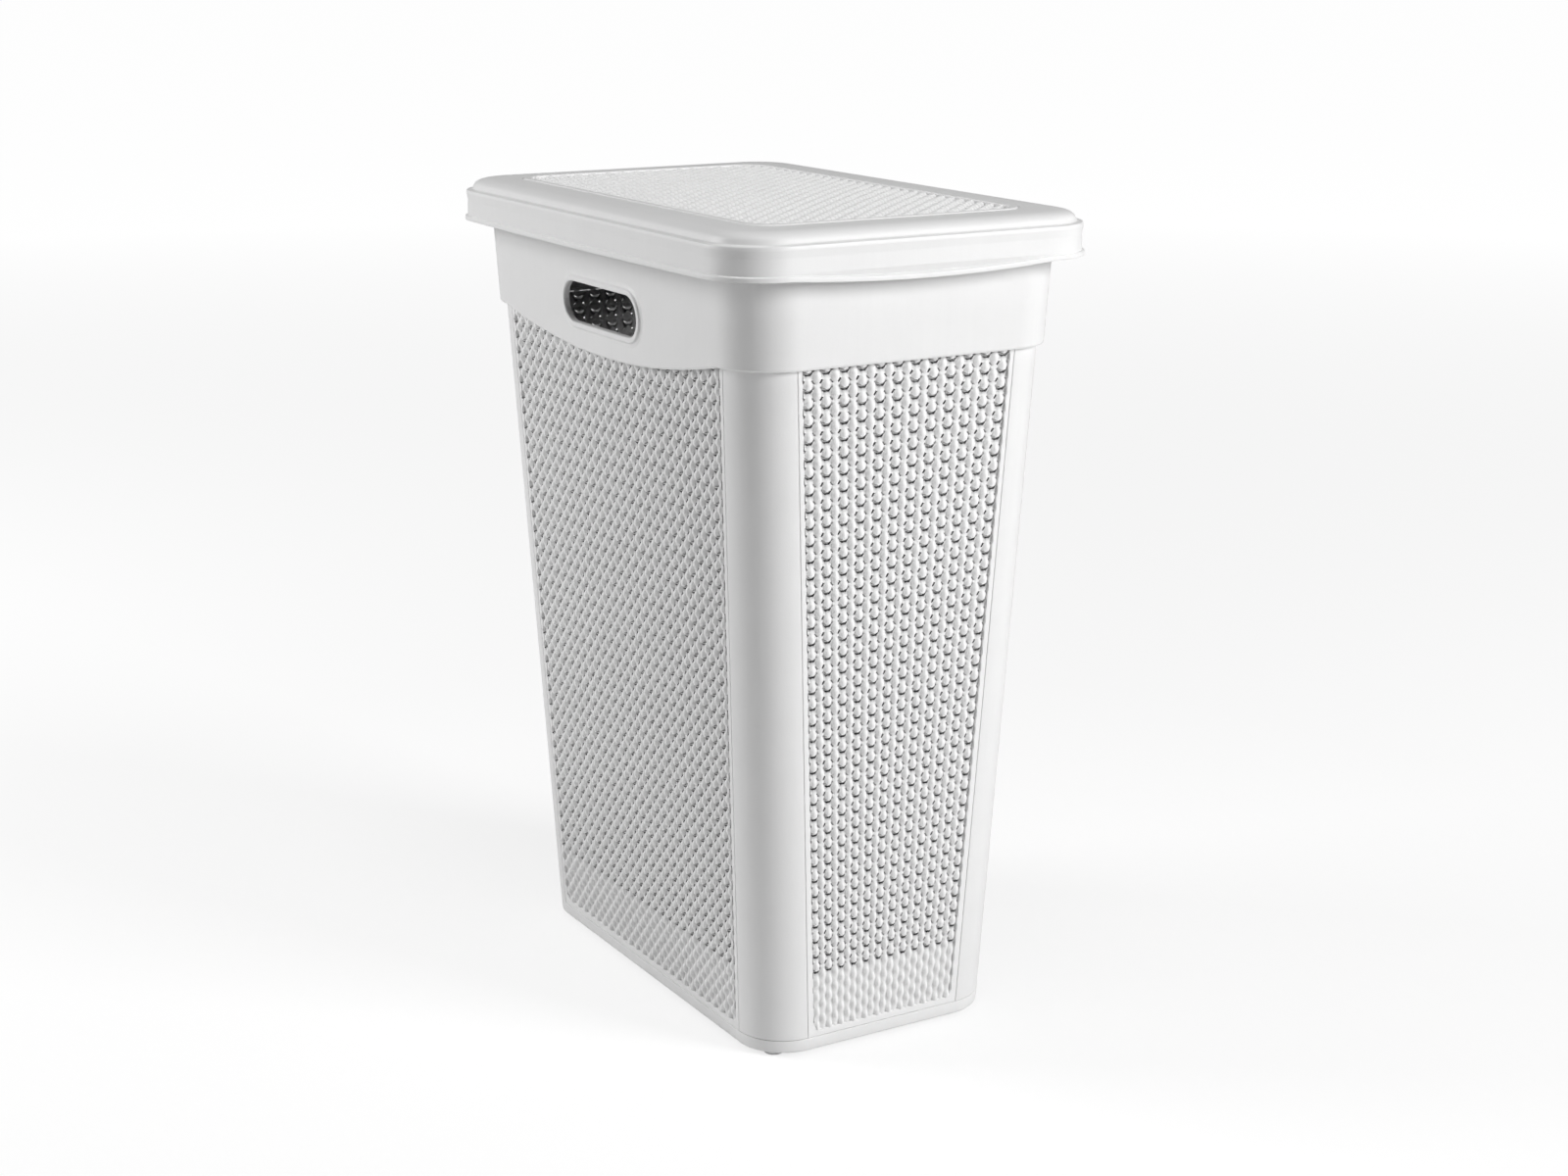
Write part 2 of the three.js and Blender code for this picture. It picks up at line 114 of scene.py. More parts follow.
@dataclass(frozen=True)
class HamperSizes:
    """Levels and half sizes that the sub-assemblies share, measured on the CAD frame.

    Attributes:
        base_half: half width and half depth of the base's upper edge.
        base_top: height of the base's upper edge.
        floor_z: height of the base's underside.
        draft: how far a wall leans out for each unit of height.
        corner_radius: plan radius of the tub's corners at the wall's outer face.
        wall: thickness of the mouldings.
        wall_top: height where the posts and panels end under the collar.
        rim_z: height of the tub's rim.
        collar_proud: how far the collar stands out from the walls.
        lid_half: half width and half depth of the lid at its lip.
        lid_radius: plan radius of the lid's corners.
        lip_z: height of the lid's lip at its corners.
        lid_top: highest point of the lid.
        rim_chamfer: bevel of the tub's rim.
    """

    base_half: Point2
    base_top: float
    floor_z: float
    draft: float
    wall_top: float
    rim_z: float
    lid_half: Point2
    lip_z: float
    lid_top: float
    corner_radius: float = 36.5 * MM
    wall: float = 2.5 * MM
    collar_proud: float = 5.0 * MM
    lid_radius: float = 44.0 * MM
    rim_chamfer: float = 1.0 * MM

    @classmethod
    def from_frame(cls) -> "HamperSizes":
        """Measures the loaded CAD nodes.

        Returns:
            The sizes of this pack of the hamper.
        """
        base_low, base_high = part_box("base")
        _, collar_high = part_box("collar")
        _, post_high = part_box("corner_post_front_left")
        frame_low, frame_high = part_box("lid_frame")
        _, panel_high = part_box("lid_panel")
        rise = collar_high.z - cls.rim_chamfer - base_high.z
        lean = collar_high.x - cls.collar_proud - base_high.x
        return cls(
            base_half=(base_high.x, base_high.y),
            base_top=base_high.z,
            floor_z=base_low.z,
            draft=lean / rise,
            wall_top=post_high.z,
            rim_z=collar_high.z,
            lid_half=(frame_high.x, frame_high.y),
            lip_z=frame_low.z + LidFrame.front_droop,
            lid_top=panel_high.z,
        )

    def wall_half(self, z: float, offset: float = 0.0) -> Point2:
        """Half width and half depth of the walls' outer face at a height, moved out by offset."""
        grow = self.draft * (z - self.base_top) + offset
        return self.base_half[0] + grow, self.base_half[1] + grow


# ---- Outlines and meshes ----


@dataclass(frozen=True)
class Station:
    """One direction round a rounded rectangle.

    Attributes:
        cx: share of the half width at which the corner's centre or side point lies.
        cy: the same share of the half depth.
        nx: outward direction in X.
        ny: outward direction in Y.
        side: the straight side it lies on, or None in a corner.
        t: -1 to 1 along a straight side.
    """

    cx: float
    cy: float
    nx: float
    ny: float
    side: Side | None
    t: float

    @property
    def sag(self) -> float:
        """0 at the ends of a straight side and in corners, 1 at the side's middle."""
        return 0.0 if self.side is None else 1.0 - self.t * self.t

    def at(self, half: Point2, radius: float, z: float) -> Point3:
        """The point of a rounded rectangle at this station.

        Args:
            half: half width and half depth.
            radius: corner radius.
            z: height.

        Returns:
            The point, in metres.
        """
        x = self.cx * (half[0] - radius) + self.nx * radius
        y = self.cy * (half[1] - radius) + self.ny * radius
        return x, y, z


def stations_round(arc: int, along_long: int, along_short: int) -> list[Station]:
    """The stations of one trip round the hamper, anticlockwise from the middle of +X's corner.

    Args:
        arc: divisions of each rounded corner.
        along_long: divisions of each long side.
        along_short: divisions of each short side.

    Returns:
        The stations in order.
    """
    corners = [(1, 1), (-1, 1), (-1, -1), (1, -1)]
    sides = [Side.REAR, Side.LEFT, Side.FRONT, Side.RIGHT]
    stations: list[Station] = []
    for i, (cx, cy) in enumerate(corners):
        for k in range(arc + 1):
            angle = (i + k / arc) * QUARTER
            stations.append(Station(cx, cy, math.cos(angle), math.sin(angle), None, 1.0))
        ex, ey = corners[(i + 1) % 4]
        angle = (i + 1) * QUARTER
        steps = along_long if sides[i].is_long else along_short
        for k in range(1, steps):
            share = k / steps
            stations.append(
                Station(
                    cx + (ex - cx) * share,
                    cy + (ey - cy) * share,
                    math.cos(angle),
                    math.sin(angle),
                    sides[i],
                    2 * share - 1,
                )
            )
    return stations


def rounded(corners: Sequence[Point3], steps: int = 3, closed: bool = True) -> list[Point2]:
    """Rounds the corners of a section.

    Args:
        corners: (a, b, radius) of each corner in order, where a and b are in the section.
        steps: divisions of each rounded corner.
        closed: whether the section's last corner joins its first.

    Returns:
        The section's points; a corner of no radius stays one point.
    """
    guard = 0.45
    points: list[Point2] = []
    count = len(corners)
    for i, (a, b, radius) in enumerate(corners):
        is_end = not closed and i in (0, count - 1)
        if radius <= 0 or is_end:
            points.append((a, b))
            continue
        here = Vector((a, b))
        back = Vector(corners[i - 1][:2]) - here
        ahead = Vector(corners[(i + 1) % count][:2]) - here
        opening = back.angle(ahead)
        reach = radius / max(math.tan(opening / 2), LEAST)
        reach = min(reach, guard * back.length, guard * ahead.length)
        start, end = here + back.normalized() * reach, here + ahead.normalized() * reach
        for k in range(steps + 1):
            f = k / steps
            p = start.lerp(here, f).lerp(here.lerp(end, f), f)
            points.append((p.x, p.y))
    return points


def linked(name: str, mesh: Mesh) -> Object:
    """Makes an object of a mesh and links it to the scene."""
    obj = bpy.data.objects.new(name, mesh)
    bpy.context.scene.collection.objects.link(obj)
    return obj


def mesh_object(
    name: str, points: Iterable[Sequence[float]], faces: Iterable[Sequence[int]]
) -> Object:
    """Makes a smooth shaded object from points and faces, turned right side out.

    Args:
        name: the piece's name.
        points: vertices, in metres.
        faces: vertex numbers of each face of a closed body.

    Returns:
        The object, linked to the scene.
    """
    mesh = bpy.data.meshes.new(name)
    mesh.from_pydata([tuple(p) for p in points], [], [tuple(f) for f in faces])
    mesh.validate()
    tidy = bmesh.new()
    tidy.from_mesh(mesh)
    bmesh.ops.remove_doubles(tidy, verts=tidy.verts, dist=WELD)
    bmesh.ops.recalc_face_normals(tidy, faces=tidy.faces)
    if tidy.calc_volume(signed=True) < 0:
        bmesh.ops.reverse_faces(tidy, faces=tidy.faces)
    tidy.to_mesh(mesh)
    tidy.free()
    mesh.shade_smooth()
    return linked(name, mesh)


def quads(rows: int, across: int, is_ring: bool = True) -> list[tuple[int, ...]]:
    """Joins rows of points, each of them a closed loop.

    Args:
        rows: how many rows there are.
        across: points in each row.
        is_ring: whether the last row joins the first.

    Returns:
        The faces between the rows.
    """
    faces: list[tuple[int, ...]] = []
    for i in range(rows if is_ring else rows - 1):
        low, high = i * across, (i + 1) % rows * across
        for k in range(across):
            up = (k + 1) % across
            faces.append((low + k, high + k, high + up, low + up))
    return faces


def ring_object(
    name: str, stations: Sequence[Station], section: Callable[[Station], list[Point3]]
) -> Object:
    """Sweeps a closed section round the hamper.

    Args:
        name: the piece's name.
        stations: the stations of the trip.
        section: gives the section's points at a station, in the same order at each.

    Returns:
        The closed ring.
    """
    rows = [section(s) for s in stations]
    faces = quads(len(rows), len(rows[0]))
    return mesh_object(name, [p for row in rows for p in row], faces)


def baked(obj: Object) -> Object:
    """Turns an object's modifiers into plain mesh.

    Args:
        obj: the object, with its modifiers set.

    Returns:
        The same object with a plain mesh and no modifiers.
    """
    graph = bpy.context.evaluated_depsgraph_get()
    graph.update()
    mesh = bpy.data.meshes.new_from_object(obj.evaluated_get(graph), depsgraph=graph)
    mesh.name = obj.name
    obj.modifiers.clear()
    old, obj.data = obj.data, mesh
    bpy.data.meshes.remove(old)
    return obj


def softened(obj: Object, width: float, segments: int = 2) -> Object:
    """Rounds the sharp edges of a closed body.

    Args:
        obj: the body.
        width: width of the rounding.
        segments: divisions of the rounding.

    Returns:
        The same object with a plain mesh.
    """
    bevel = obj.modifiers.new("edges", "BEVEL")
    bevel.width = width
    bevel.segments = segments
    bevel.limit_method = "ANGLE"
    bevel.angle_limit = BEVEL_ANGLE
    bevel.harden_normals = False
    weigh = obj.modifiers.new("shading", "WEIGHTED_NORMAL")
    weigh.keep_sharp = False
    obj.data.shade_smooth()
    return baked(obj)


def copied(node: Object, name: str) -> Object:
    """Copies a CAD node's mesh as one joined surface, ready to be finished.

    Args:
        node: the CAD node, which stays as it is.
        name: the new piece's name.

    Returns:
        The copy, linked to the scene.
    """
    mesh = node.data.copy()
    mesh.name = name
    mesh.materials.clear()
    tidy = bmesh.new()
    tidy.from_mesh(mesh)
    bmesh.ops.remove_doubles(tidy, verts=tidy.verts, dist=SLIVER)
    bmesh.ops.dissolve_limit(tidy, angle_limit=FLAT_ANGLE, verts=tidy.verts, edges=tidy.edges)
    tidy.to_mesh(mesh)
    tidy.free()
    return linked(name, mesh)


# ---- Node helpers ----


class Nodes:
    """A node tree with short calls to add and link its nodes."""

    def __init__(self, tree: NodeTree) -> None:
        """Wraps a tree."""
        self.tree = tree

    def add(
        self, kind: str, inputs: dict[str | int, object] | None = None, **options: object
    ) -> Node:
        """Adds a node.

        Args:
            kind: the node's type name.
            inputs: value or output socket for each input, by name or number.
            options: the node's own settings.

        Returns:
            The node.
        """
        node = self.tree.nodes.new(kind)
        for key, value in options.items():
            setattr(node, key, value)
        for key, value in (inputs or {}).items():
            self.feed(node.inputs[key], value)
        return node

    def feed(self, socket: NodeSocket, value: object) -> None:
        """Links an output to a socket, or sets the socket's value."""
        if isinstance(value, Node):
            value = value.outputs[0]
        if isinstance(value, NodeSocket):
            self.tree.links.new(value, socket)
        else:
            socket.default_value = value

    def math(self, operation: str, *values: object) -> NodeSocket:
        """Adds a Math node and returns its output."""
        kind = "ShaderNodeMath"
        return self.add(kind, dict(enumerate(values)), operation=operation).outputs[0]

    def times(self, a: object, b: object) -> NodeSocket:
        """Multiplies two numbers."""
        return self.math("MULTIPLY", a, b)

    def plus(self, a: object, b: object) -> NodeSocket:
        """Adds two numbers."""
        return self.math("ADD", a, b)

    def minus(self, a: object, b: object) -> NodeSocket:
        """Subtracts the second number from the first."""
        return self.math("SUBTRACT", a, b)

    def vector(self, operation: str, *values: object) -> NodeSocket:
        """Adds a Vector Math node and returns its first output."""
        kind = "ShaderNodeVectorMath"
        node = self.add(kind, dict(enumerate(values)), operation=operation)
        return node.outputs["Value" if operation in ("LENGTH", "DOT_PRODUCT") else 0]

    def noise(self, place: object, scale: object, detail: float) -> NodeSocket:
        """Adds a noise texture and returns its value."""
        values = {"Vector": place, "Scale": scale, "Detail": detail}
        return self.add("ShaderNodeTexNoise", values).outputs[0]

    def compare(self, a: object, b: object) -> NodeSocket:
        """Adds a test of whether a is greater than b and returns its output."""
        node = self.add("FunctionNodeCompare", {"A": a, "B": b})
        node.data_type, node.operation = "FLOAT", "GREATER_THAN"
        return node.outputs[0]

    def split(self, vector: object) -> tuple[NodeSocket, ...]:
        """Separates a vector into its three outputs."""
        return tuple(self.add("ShaderNodeSeparateXYZ", {0: vector}).outputs)

    def join(self, x: object, y: object, z: object) -> NodeSocket:
        """Combines three numbers into a vector."""
        return self.add("ShaderNodeCombineXYZ", {0: x, 1: y, 2: z}).outputs[0]


def emptied(block: Material | World) -> Nodes:
    """Gives a material or world an empty tree and returns its helper."""
    block.use_nodes = True
    block.node_tree.nodes.clear()
    return Nodes(block.node_tree)


# ---- Knit stitches ----


@dataclass(frozen=True)
class Stitch:
    """One repeat of the moulded knit: a knob, half a repeat up and across from the next knob.

    Plan places are in repeats (u across, v up) and depths in millimetres from the wall's
    face, negative going in. Under each knob runs a curved slit; it is open all the way under
    one knob and only at its two ends under the other.

    Attributes:
        back: depth of the inner face.
        groove: depth of the inner face's upright grooves.
        fall: how much lower the slits come out on the inner face, in repeats.
        low_corner: the repeat's lower left corner, where no triangle's middle lies on its edge.
        weld: how near two points of a repeat are joined.
    """

    back: float = -3.4
    groove: float = -2.7
    fall: float = 0.13
    low_corner: Point2 = (-0.4713, -0.5127)
    weld: float = 1e-4
    knobs: tuple[Point2, ...] = ((0.0, 0.0), (0.5, 0.5))
    knob_points: tuple[Point3, ...] = (
        (0.01, 0.02, 1.0),
        (-0.11, 0.16, 0.5),
        (0.11, 0.17, 0.5),
        (-0.12, -0.13, 0.7),
        (0.12, -0.14, 0.7),
        (0.0, 0.25, 0.0),
        (0.0, -0.21, 0.8),
        (-0.14, 0.02, 0.45),
        (0.14, 0.03, 0.45),
        (-0.19, 0.19, -1.5),
        (0.19, 0.20, -1.5),
        (-0.205, 0.03, -1.6),
        (0.205, 0.04, -1.6),
        (-0.215, -0.12, -1.7),
        (0.215, -0.11, -1.7),
        (0.0, 0.40, -0.6),
        (-0.085, 0.33, -0.9),
        (0.085, 0.34, -0.9),
    )
    smile: tuple[Point3, ...] = (
        (-0.30, -0.18, -1.6),
        (-0.225, -0.36, -1.5),
        (-0.125, -0.46, -1.3),
        (0.0, -0.42, -0.8),
        (0.125, -0.46, -1.3),
        (0.225, -0.36, -1.5),
        (0.30, -0.18, -1.6),
        (0.17, -0.265, -0.6),
        (0.0, -0.30, 0.2),
        (-0.17, -0.265, -0.6),
    )
    slit: tuple[Point3, ...] = (
        (0.105, -0.405, -1.0),
        (0.195, -0.455, -1.2),
        (0.325, -0.235, -1.3),
        (0.225, -0.185, -1.3),
    )
    tie_points: tuple[Point3, ...] = ((0.0, -0.34, -0.4), (0.0, -0.45, -0.8))
    back_points: tuple[Point3, ...] = (
        (0.435, 0.02, 0.0),
        (0.5, 0.0, 1.0),
        (0.505, 0.2, 1.0),
        (0.505, -0.15, 1.0),
        (0.565, 0.03, 0.0),
        (0.43, 0.52, 0.0),
        (0.5, 0.5, 1.0),
        (0.57, 0.51, 0.0),
        (0.01, 0.33, 0.0),
        (0.02, 0.05, 0.0),
    )

    def holes(self) -> list[list[Point3]]:
        """The slits of one repeat, each as its rim in order."""
        u, v = self.knobs[1]
        right = [(u + a, v + b, c) for a, b, c in self.slit]
        left = [(u - a, v + b, c) for a, b, c in self.slit]
        return [list(self.smile), right, left]

    def front_points(self) -> list[Point3]:
        """The face's points outside the slits."""
        points = [
            (u + a, v + b, c) for u, v in self.knobs for a, b, c in self.knob_points
        ]
        u, v = self.knobs[1]
        return points + [(u + a, v + b, c) for a, b, c in self.tie_points]

    def inner_points(self) -> list[Point3]:
        """The inner face's points outside the slits."""
        return [(a, b, self.groove if c else self.back) for a, b, c in self.back_points]

    def _face(
        self, points: list[Point3], rims: list[list[Point3]], is_open: bool
    ) -> tuple[list[Point3], list[list[int]]]:
        """Fills one face of the repeat with triangles.

        Args:
            points: its points outside the slits.
            rims: the slits' rims, at this face's depths.
            is_open: whether the slits are left out.

        Returns:
            The points of the repeat and its neighbours, and the repeat's own triangles.
        """
        spots: list[Point3] = []
        edges: list[tuple[int, int]] = []
        outlines: list[list[Point2]] = []
        for du in (-1, 0, 1):
            for dv in (-1, 0, 1):
                spots += [(u + du, v + dv, c) for u, v, c in points]
                for rim in rims:
                    first = len(spots)
                    spots += [(u + du, v + dv, c) for u, v, c in rim]
                    outlines.append([(u + du, v + dv) for u, v, _ in rim])
                    count = len(rim)
                    edges += [(first + k, first + (k + 1) % count) for k in range(count)]
        found = delaunay_2d_cdt([Vector(p[:2]) for p in spots], edges, [], 0, LEAST)
        flat, faces, origins = found[0], found[2], found[3]
        full = [(p.x, p.y, spots[origins[i][0]][2]) for i, p in enumerate(flat)]
        own = []
        low_u, low_v = self.low_corner
        for face in faces:
            u = sum(flat[i].x for i in face) / 3
            v = sum(flat[i].y for i in face) / 3
            inside = low_u <= u < low_u + 1 and low_v <= v < low_v + 1
            if inside and not (is_open and any(encloses(o, u, v) for o in outlines)):
                own.append(list(face))
        return full, own

    def build(self, name: str, is_open: bool) -> Object:
        """Builds one repeat, in repeats across and millimetres deep.

        Args:
            name: the object's name.
            is_open: whether its slits go through.

        Returns:
            The repeat, whose edges meet those of its neighbours.
        """
        rims = self.holes()
        back_rims = [[(u, v - self.fall, self.back) for u, v, _ in rim] for rim in rims]
        front, front_faces = self._face(self.front_points(), rims, is_open)
        inner, inner_faces = self._face(self.inner_points(), back_rims, is_open)
        points = list(front) + list(inner)
        shift = len(front)
        faces = [tuple(f) for f in front_faces]
        faces += [tuple(shift + i for i in reversed(f)) for f in inner_faces]
        if is_open:
            for rim, back_rim in zip(rims, back_rims):
                first = len(points)
                points += rim + back_rim
                count = len(rim)
                for k in range(count):
                    j = (k + 1) % count
                    faces.append((first + j, first + k, first + count + k, first + count + j))
        mesh = bpy.data.meshes.new(name)
        mesh.from_pydata(points, [], faces)
        tidy = bmesh.new()
        tidy.from_mesh(mesh)
        loose = [v for v in tidy.verts if not v.link_faces]
        bmesh.ops.delete(tidy, geom=loose, context="VERTS")
        bmesh.ops.remove_doubles(tidy, verts=tidy.verts, dist=self.weld)
        tidy.to_mesh(mesh)
        tidy.free()
        relief = mesh.attributes.new("relief", "FLOAT", "POINT")
        deepest = min(c for _, _, c in self.knob_points)
        span = max(c for _, _, c in self.knob_points) - deepest
        values = [min(max((v.co.z - deepest) / span, 0.0), 1.0) for v in mesh.vertices]
        relief.data.foreach_set("value", values)
        return linked(name, mesh)


def encloses(outline: Sequence[Point2], u: float, v: float) -> bool:
    """Whether a closed outline goes round a point."""
    inside = False
    for (ua, va), (ub, vb) in zip(outline, [*outline[1:], outline[0]]):
        if (va > v) != (vb > v) and u < ua + (v - va) / (vb - va) * (ub - ua):
            inside = not inside
    return inside


class Lay(Enum):
    """How a knit sheet lies once it is cut to its window."""

    UPRIGHT = "upright"
    FLAT = "flat"


class KnitTree:
    """The Geometry Nodes tree that repeats the stitches over a tapered or crowned sheet.

    Faces beyond the window or above the cut level go, and the points left are drawn in to its rim.
    """

    SOCKETS: dict[str, tuple[str, ...]] = {
        "Object": ("Open stitch", "Blind stitch"),
        "Int": ("Columns", "Open rows", "Blind rows"),
        "Float": (
            "Column width", "Row height", "First row level", "Widening", "Window middle",
            "Window half width", "Window half height", "Window radius", "Cut level",
            "Face distance", "Relief", "Lean",
        ),
        "Material": ("Material",),
    }

    def __init__(self, lay: Lay) -> None:
        """Builds the tree for one way of lying."""
        self.tree = bpy.data.node_groups.new(f"knit_{lay.value}", "GeometryNodeTree")
        self.tree.is_modifier = True
        face = self.tree.interface
        self.identifiers: dict[str, str] = {}
        for kind, names in self.SOCKETS.items():
            for name in names:
                socket = face.new_socket(name, in_out="INPUT", socket_type=f"NodeSocket{kind}")
                self.identifiers[name] = socket.identifier
        face.new_socket("Geometry", in_out="OUTPUT", socket_type="NodeSocketGeometry")
        self._build(lay)

    def _rows(self, n: Nodes, given: Node, is_open: bool) -> NodeSocket:
        """Sets one kind of stitch out on its grid.

        Args:
            n: the tree's helper.
            given: the tree's input node.
            is_open: whether these are the rows with open slits.

        Returns:
            The instances' output.
        """
        rows = given.outputs["Open rows" if is_open else "Blind rows"]
        columns = given.outputs["Columns"]
        grid = n.add(
            "GeometryNodeMeshGrid",
            {
                "Size X": n.minus(columns, 1.0),
                "Size Y": n.minus(rows, 1.0),
                "Vertices X": columns,
                "Vertices Y": rows,
            },
        )
        middle = n.times(n.math("SUBTRACT" if is_open else "ADD", rows, 1.0), 0.5)
        raise_by = middle if is_open else n.times(middle, -1.0)
        moved = n.add(
            "GeometryNodeTransform",
            {"Geometry": grid.outputs["Mesh"], "Translation": n.join(0.0, raise_by, 0.0)},
        )
        stitch = n.add(
            "GeometryNodeObjectInfo",
            {"Object": given.outputs["Open stitch" if is_open else "Blind stitch"]},
        )
        return n.add(
            "GeometryNodeInstanceOnPoints",
            {"Points": moved, "Instance": stitch.outputs["Geometry"]},
        ).outputs[0]

    def _build(self, lay: Lay) -> None:
        """Adds and links the tree's nodes."""
        n = Nodes(self.tree)
        given = n.add("NodeGroupInput")
        out = given.outputs
        both = n.add("GeometryNodeJoinGeometry")
        for is_open in (True, False):
            self.tree.links.new(self._rows(n, given, is_open), both.inputs[0])
        real = n.add("GeometryNodeRealizeInstances", {0: both})
        knit = n.add("GeometryNodeMergeByDistance", {"Geometry": real, "Distance": 0.002})

        u, v, depth = n.split(n.add("GeometryNodeInputPosition"))
        level = n.minus(
            n.math("MULTIPLY_ADD", v, out["Row height"], out["First row level"]),
            out["Window middle"],
        )
        raised = n.times(depth, out["Relief"])
        flat = n.join(n.times(u, out["Column width"]), level, raised)
        placed = n.add("GeometryNodeSetPosition", {"Geometry": knit, "Position": flat})

        x, y, deep = n.split(n.add("GeometryNodeInputPosition"))
        inner_x = n.minus(out["Window half width"], out["Window radius"])
        inner_y = n.minus(out["Window half height"], out["Window radius"])
        nearest = []
        for value, limit in ((x, inner_x), (y, inner_y)):
            low = n.times(limit, -1.0)
            nearest.append(n.math("MINIMUM", n.math("MAXIMUM", value, low), limit))
        near = n.join(*nearest, 0.0)
        away = n.vector("SUBTRACT", n.join(x, y, 0.0), near)
        distance = n.vector("LENGTH", away)
        beyond = n.compare(distance, out["Window radius"])
        above = n.compare(y, out["Cut level"])
        either = n.add("FunctionNodeBooleanMath", {0: beyond, 1: above}, operation="OR")
        outside = n.add("GeometryNodeFieldOnDomain", domain="POINT", data_type="BOOLEAN")
        n.feed(outside.inputs[0], either.outputs[0])
        cut = n.add("GeometryNodeDeleteGeometry", {"Geometry": placed}, domain="FACE")
        n.feed(cut.inputs["Selection"], outside.outputs[0])
        share = n.math("DIVIDE", out["Window radius"], n.math("MAXIMUM", distance, 1e-7))
        shrink = n.math("MINIMUM", share, 1.0)
        scaled = n.add("ShaderNodeVectorMath", {0: away}, operation="SCALE")
        n.feed(scaled.inputs["Scale"], shrink)
        kept_x, kept_y, _ = n.split(n.vector("ADD", near, scaled.outputs[0]))
        kept = n.join(kept_x, n.math("MINIMUM", kept_y, out["Cut level"]), deep)
        trimmed = n.add("GeometryNodeSetPosition", {"Geometry": cut, "Position": kept})
        merged = n.add("GeometryNodeMergeByDistance", {"Geometry": trimmed, "Distance": 0.01 * MM})

        px, py, pz = n.split(n.add("GeometryNodeInputPosition"))
        if lay is Lay.UPRIGHT:
            height = n.plus(py, out["Window middle"])
            widen = n.math("MULTIPLY_ADD", py, out["Widening"], 1.0)
            face = n.math("MULTIPLY_ADD", height, out["Lean"], out["Face distance"])
            where = n.join(
                n.times(px, widen),
                n.times(n.plus(face, pz), -1.0),
                height,
            )
        else:
            across = n.math("POWER", n.math("DIVIDE", px, out["Window half width"]), 2.0)
            along = n.math("POWER", n.math("DIVIDE", py, out["Window half height"]), 2.0)
            left = n.times(
                n.minus(1.0, across), n.minus(1.0, along)
            )
            crown = n.math("MULTIPLY_ADD", left, out["Lean"], out["Face distance"])
            where = n.join(px, py, n.plus(crown, pz))
        laid = n.add("GeometryNodeSetPosition", {"Geometry": merged, "Position": where})
        smooth = n.add("GeometryNodeSetShadeSmooth", {"Geometry": laid})
        solid = n.add("GeometryNodeRealizeInstances", {0: smooth})
        dressed = n.add(
            "GeometryNodeSetMaterial", {"Geometry": solid, "Material": out["Material"]}
        )
        n.add("NodeGroupOutput", {0: dressed})

    def bake(self, name: str, values: dict[str, object]) -> Object:
        """Runs the tree with its values and keeps the result as plain mesh.

        Args:
            name: the new object's name.
            values: value of each named input.

        Returns:
            The object.
        """
        mesh = bpy.data.meshes.new(name)
        obj = linked(name, mesh)
        modifier = obj.modifiers.new("knit", "NODES")
        modifier.node_group = self.tree
        for key, value in values.items():
            modifier[self.identifiers[key]] = value
        obj = baked(obj)
        tidy = bmesh.new()
        tidy.from_mesh(obj.data)
        bmesh.ops.dissolve_degenerate(tidy, edges=tidy.edges, dist=SLIVER)
        tidy.to_mesh(obj.data)
        tidy.free()
        return obj


# ---- Finishes ----


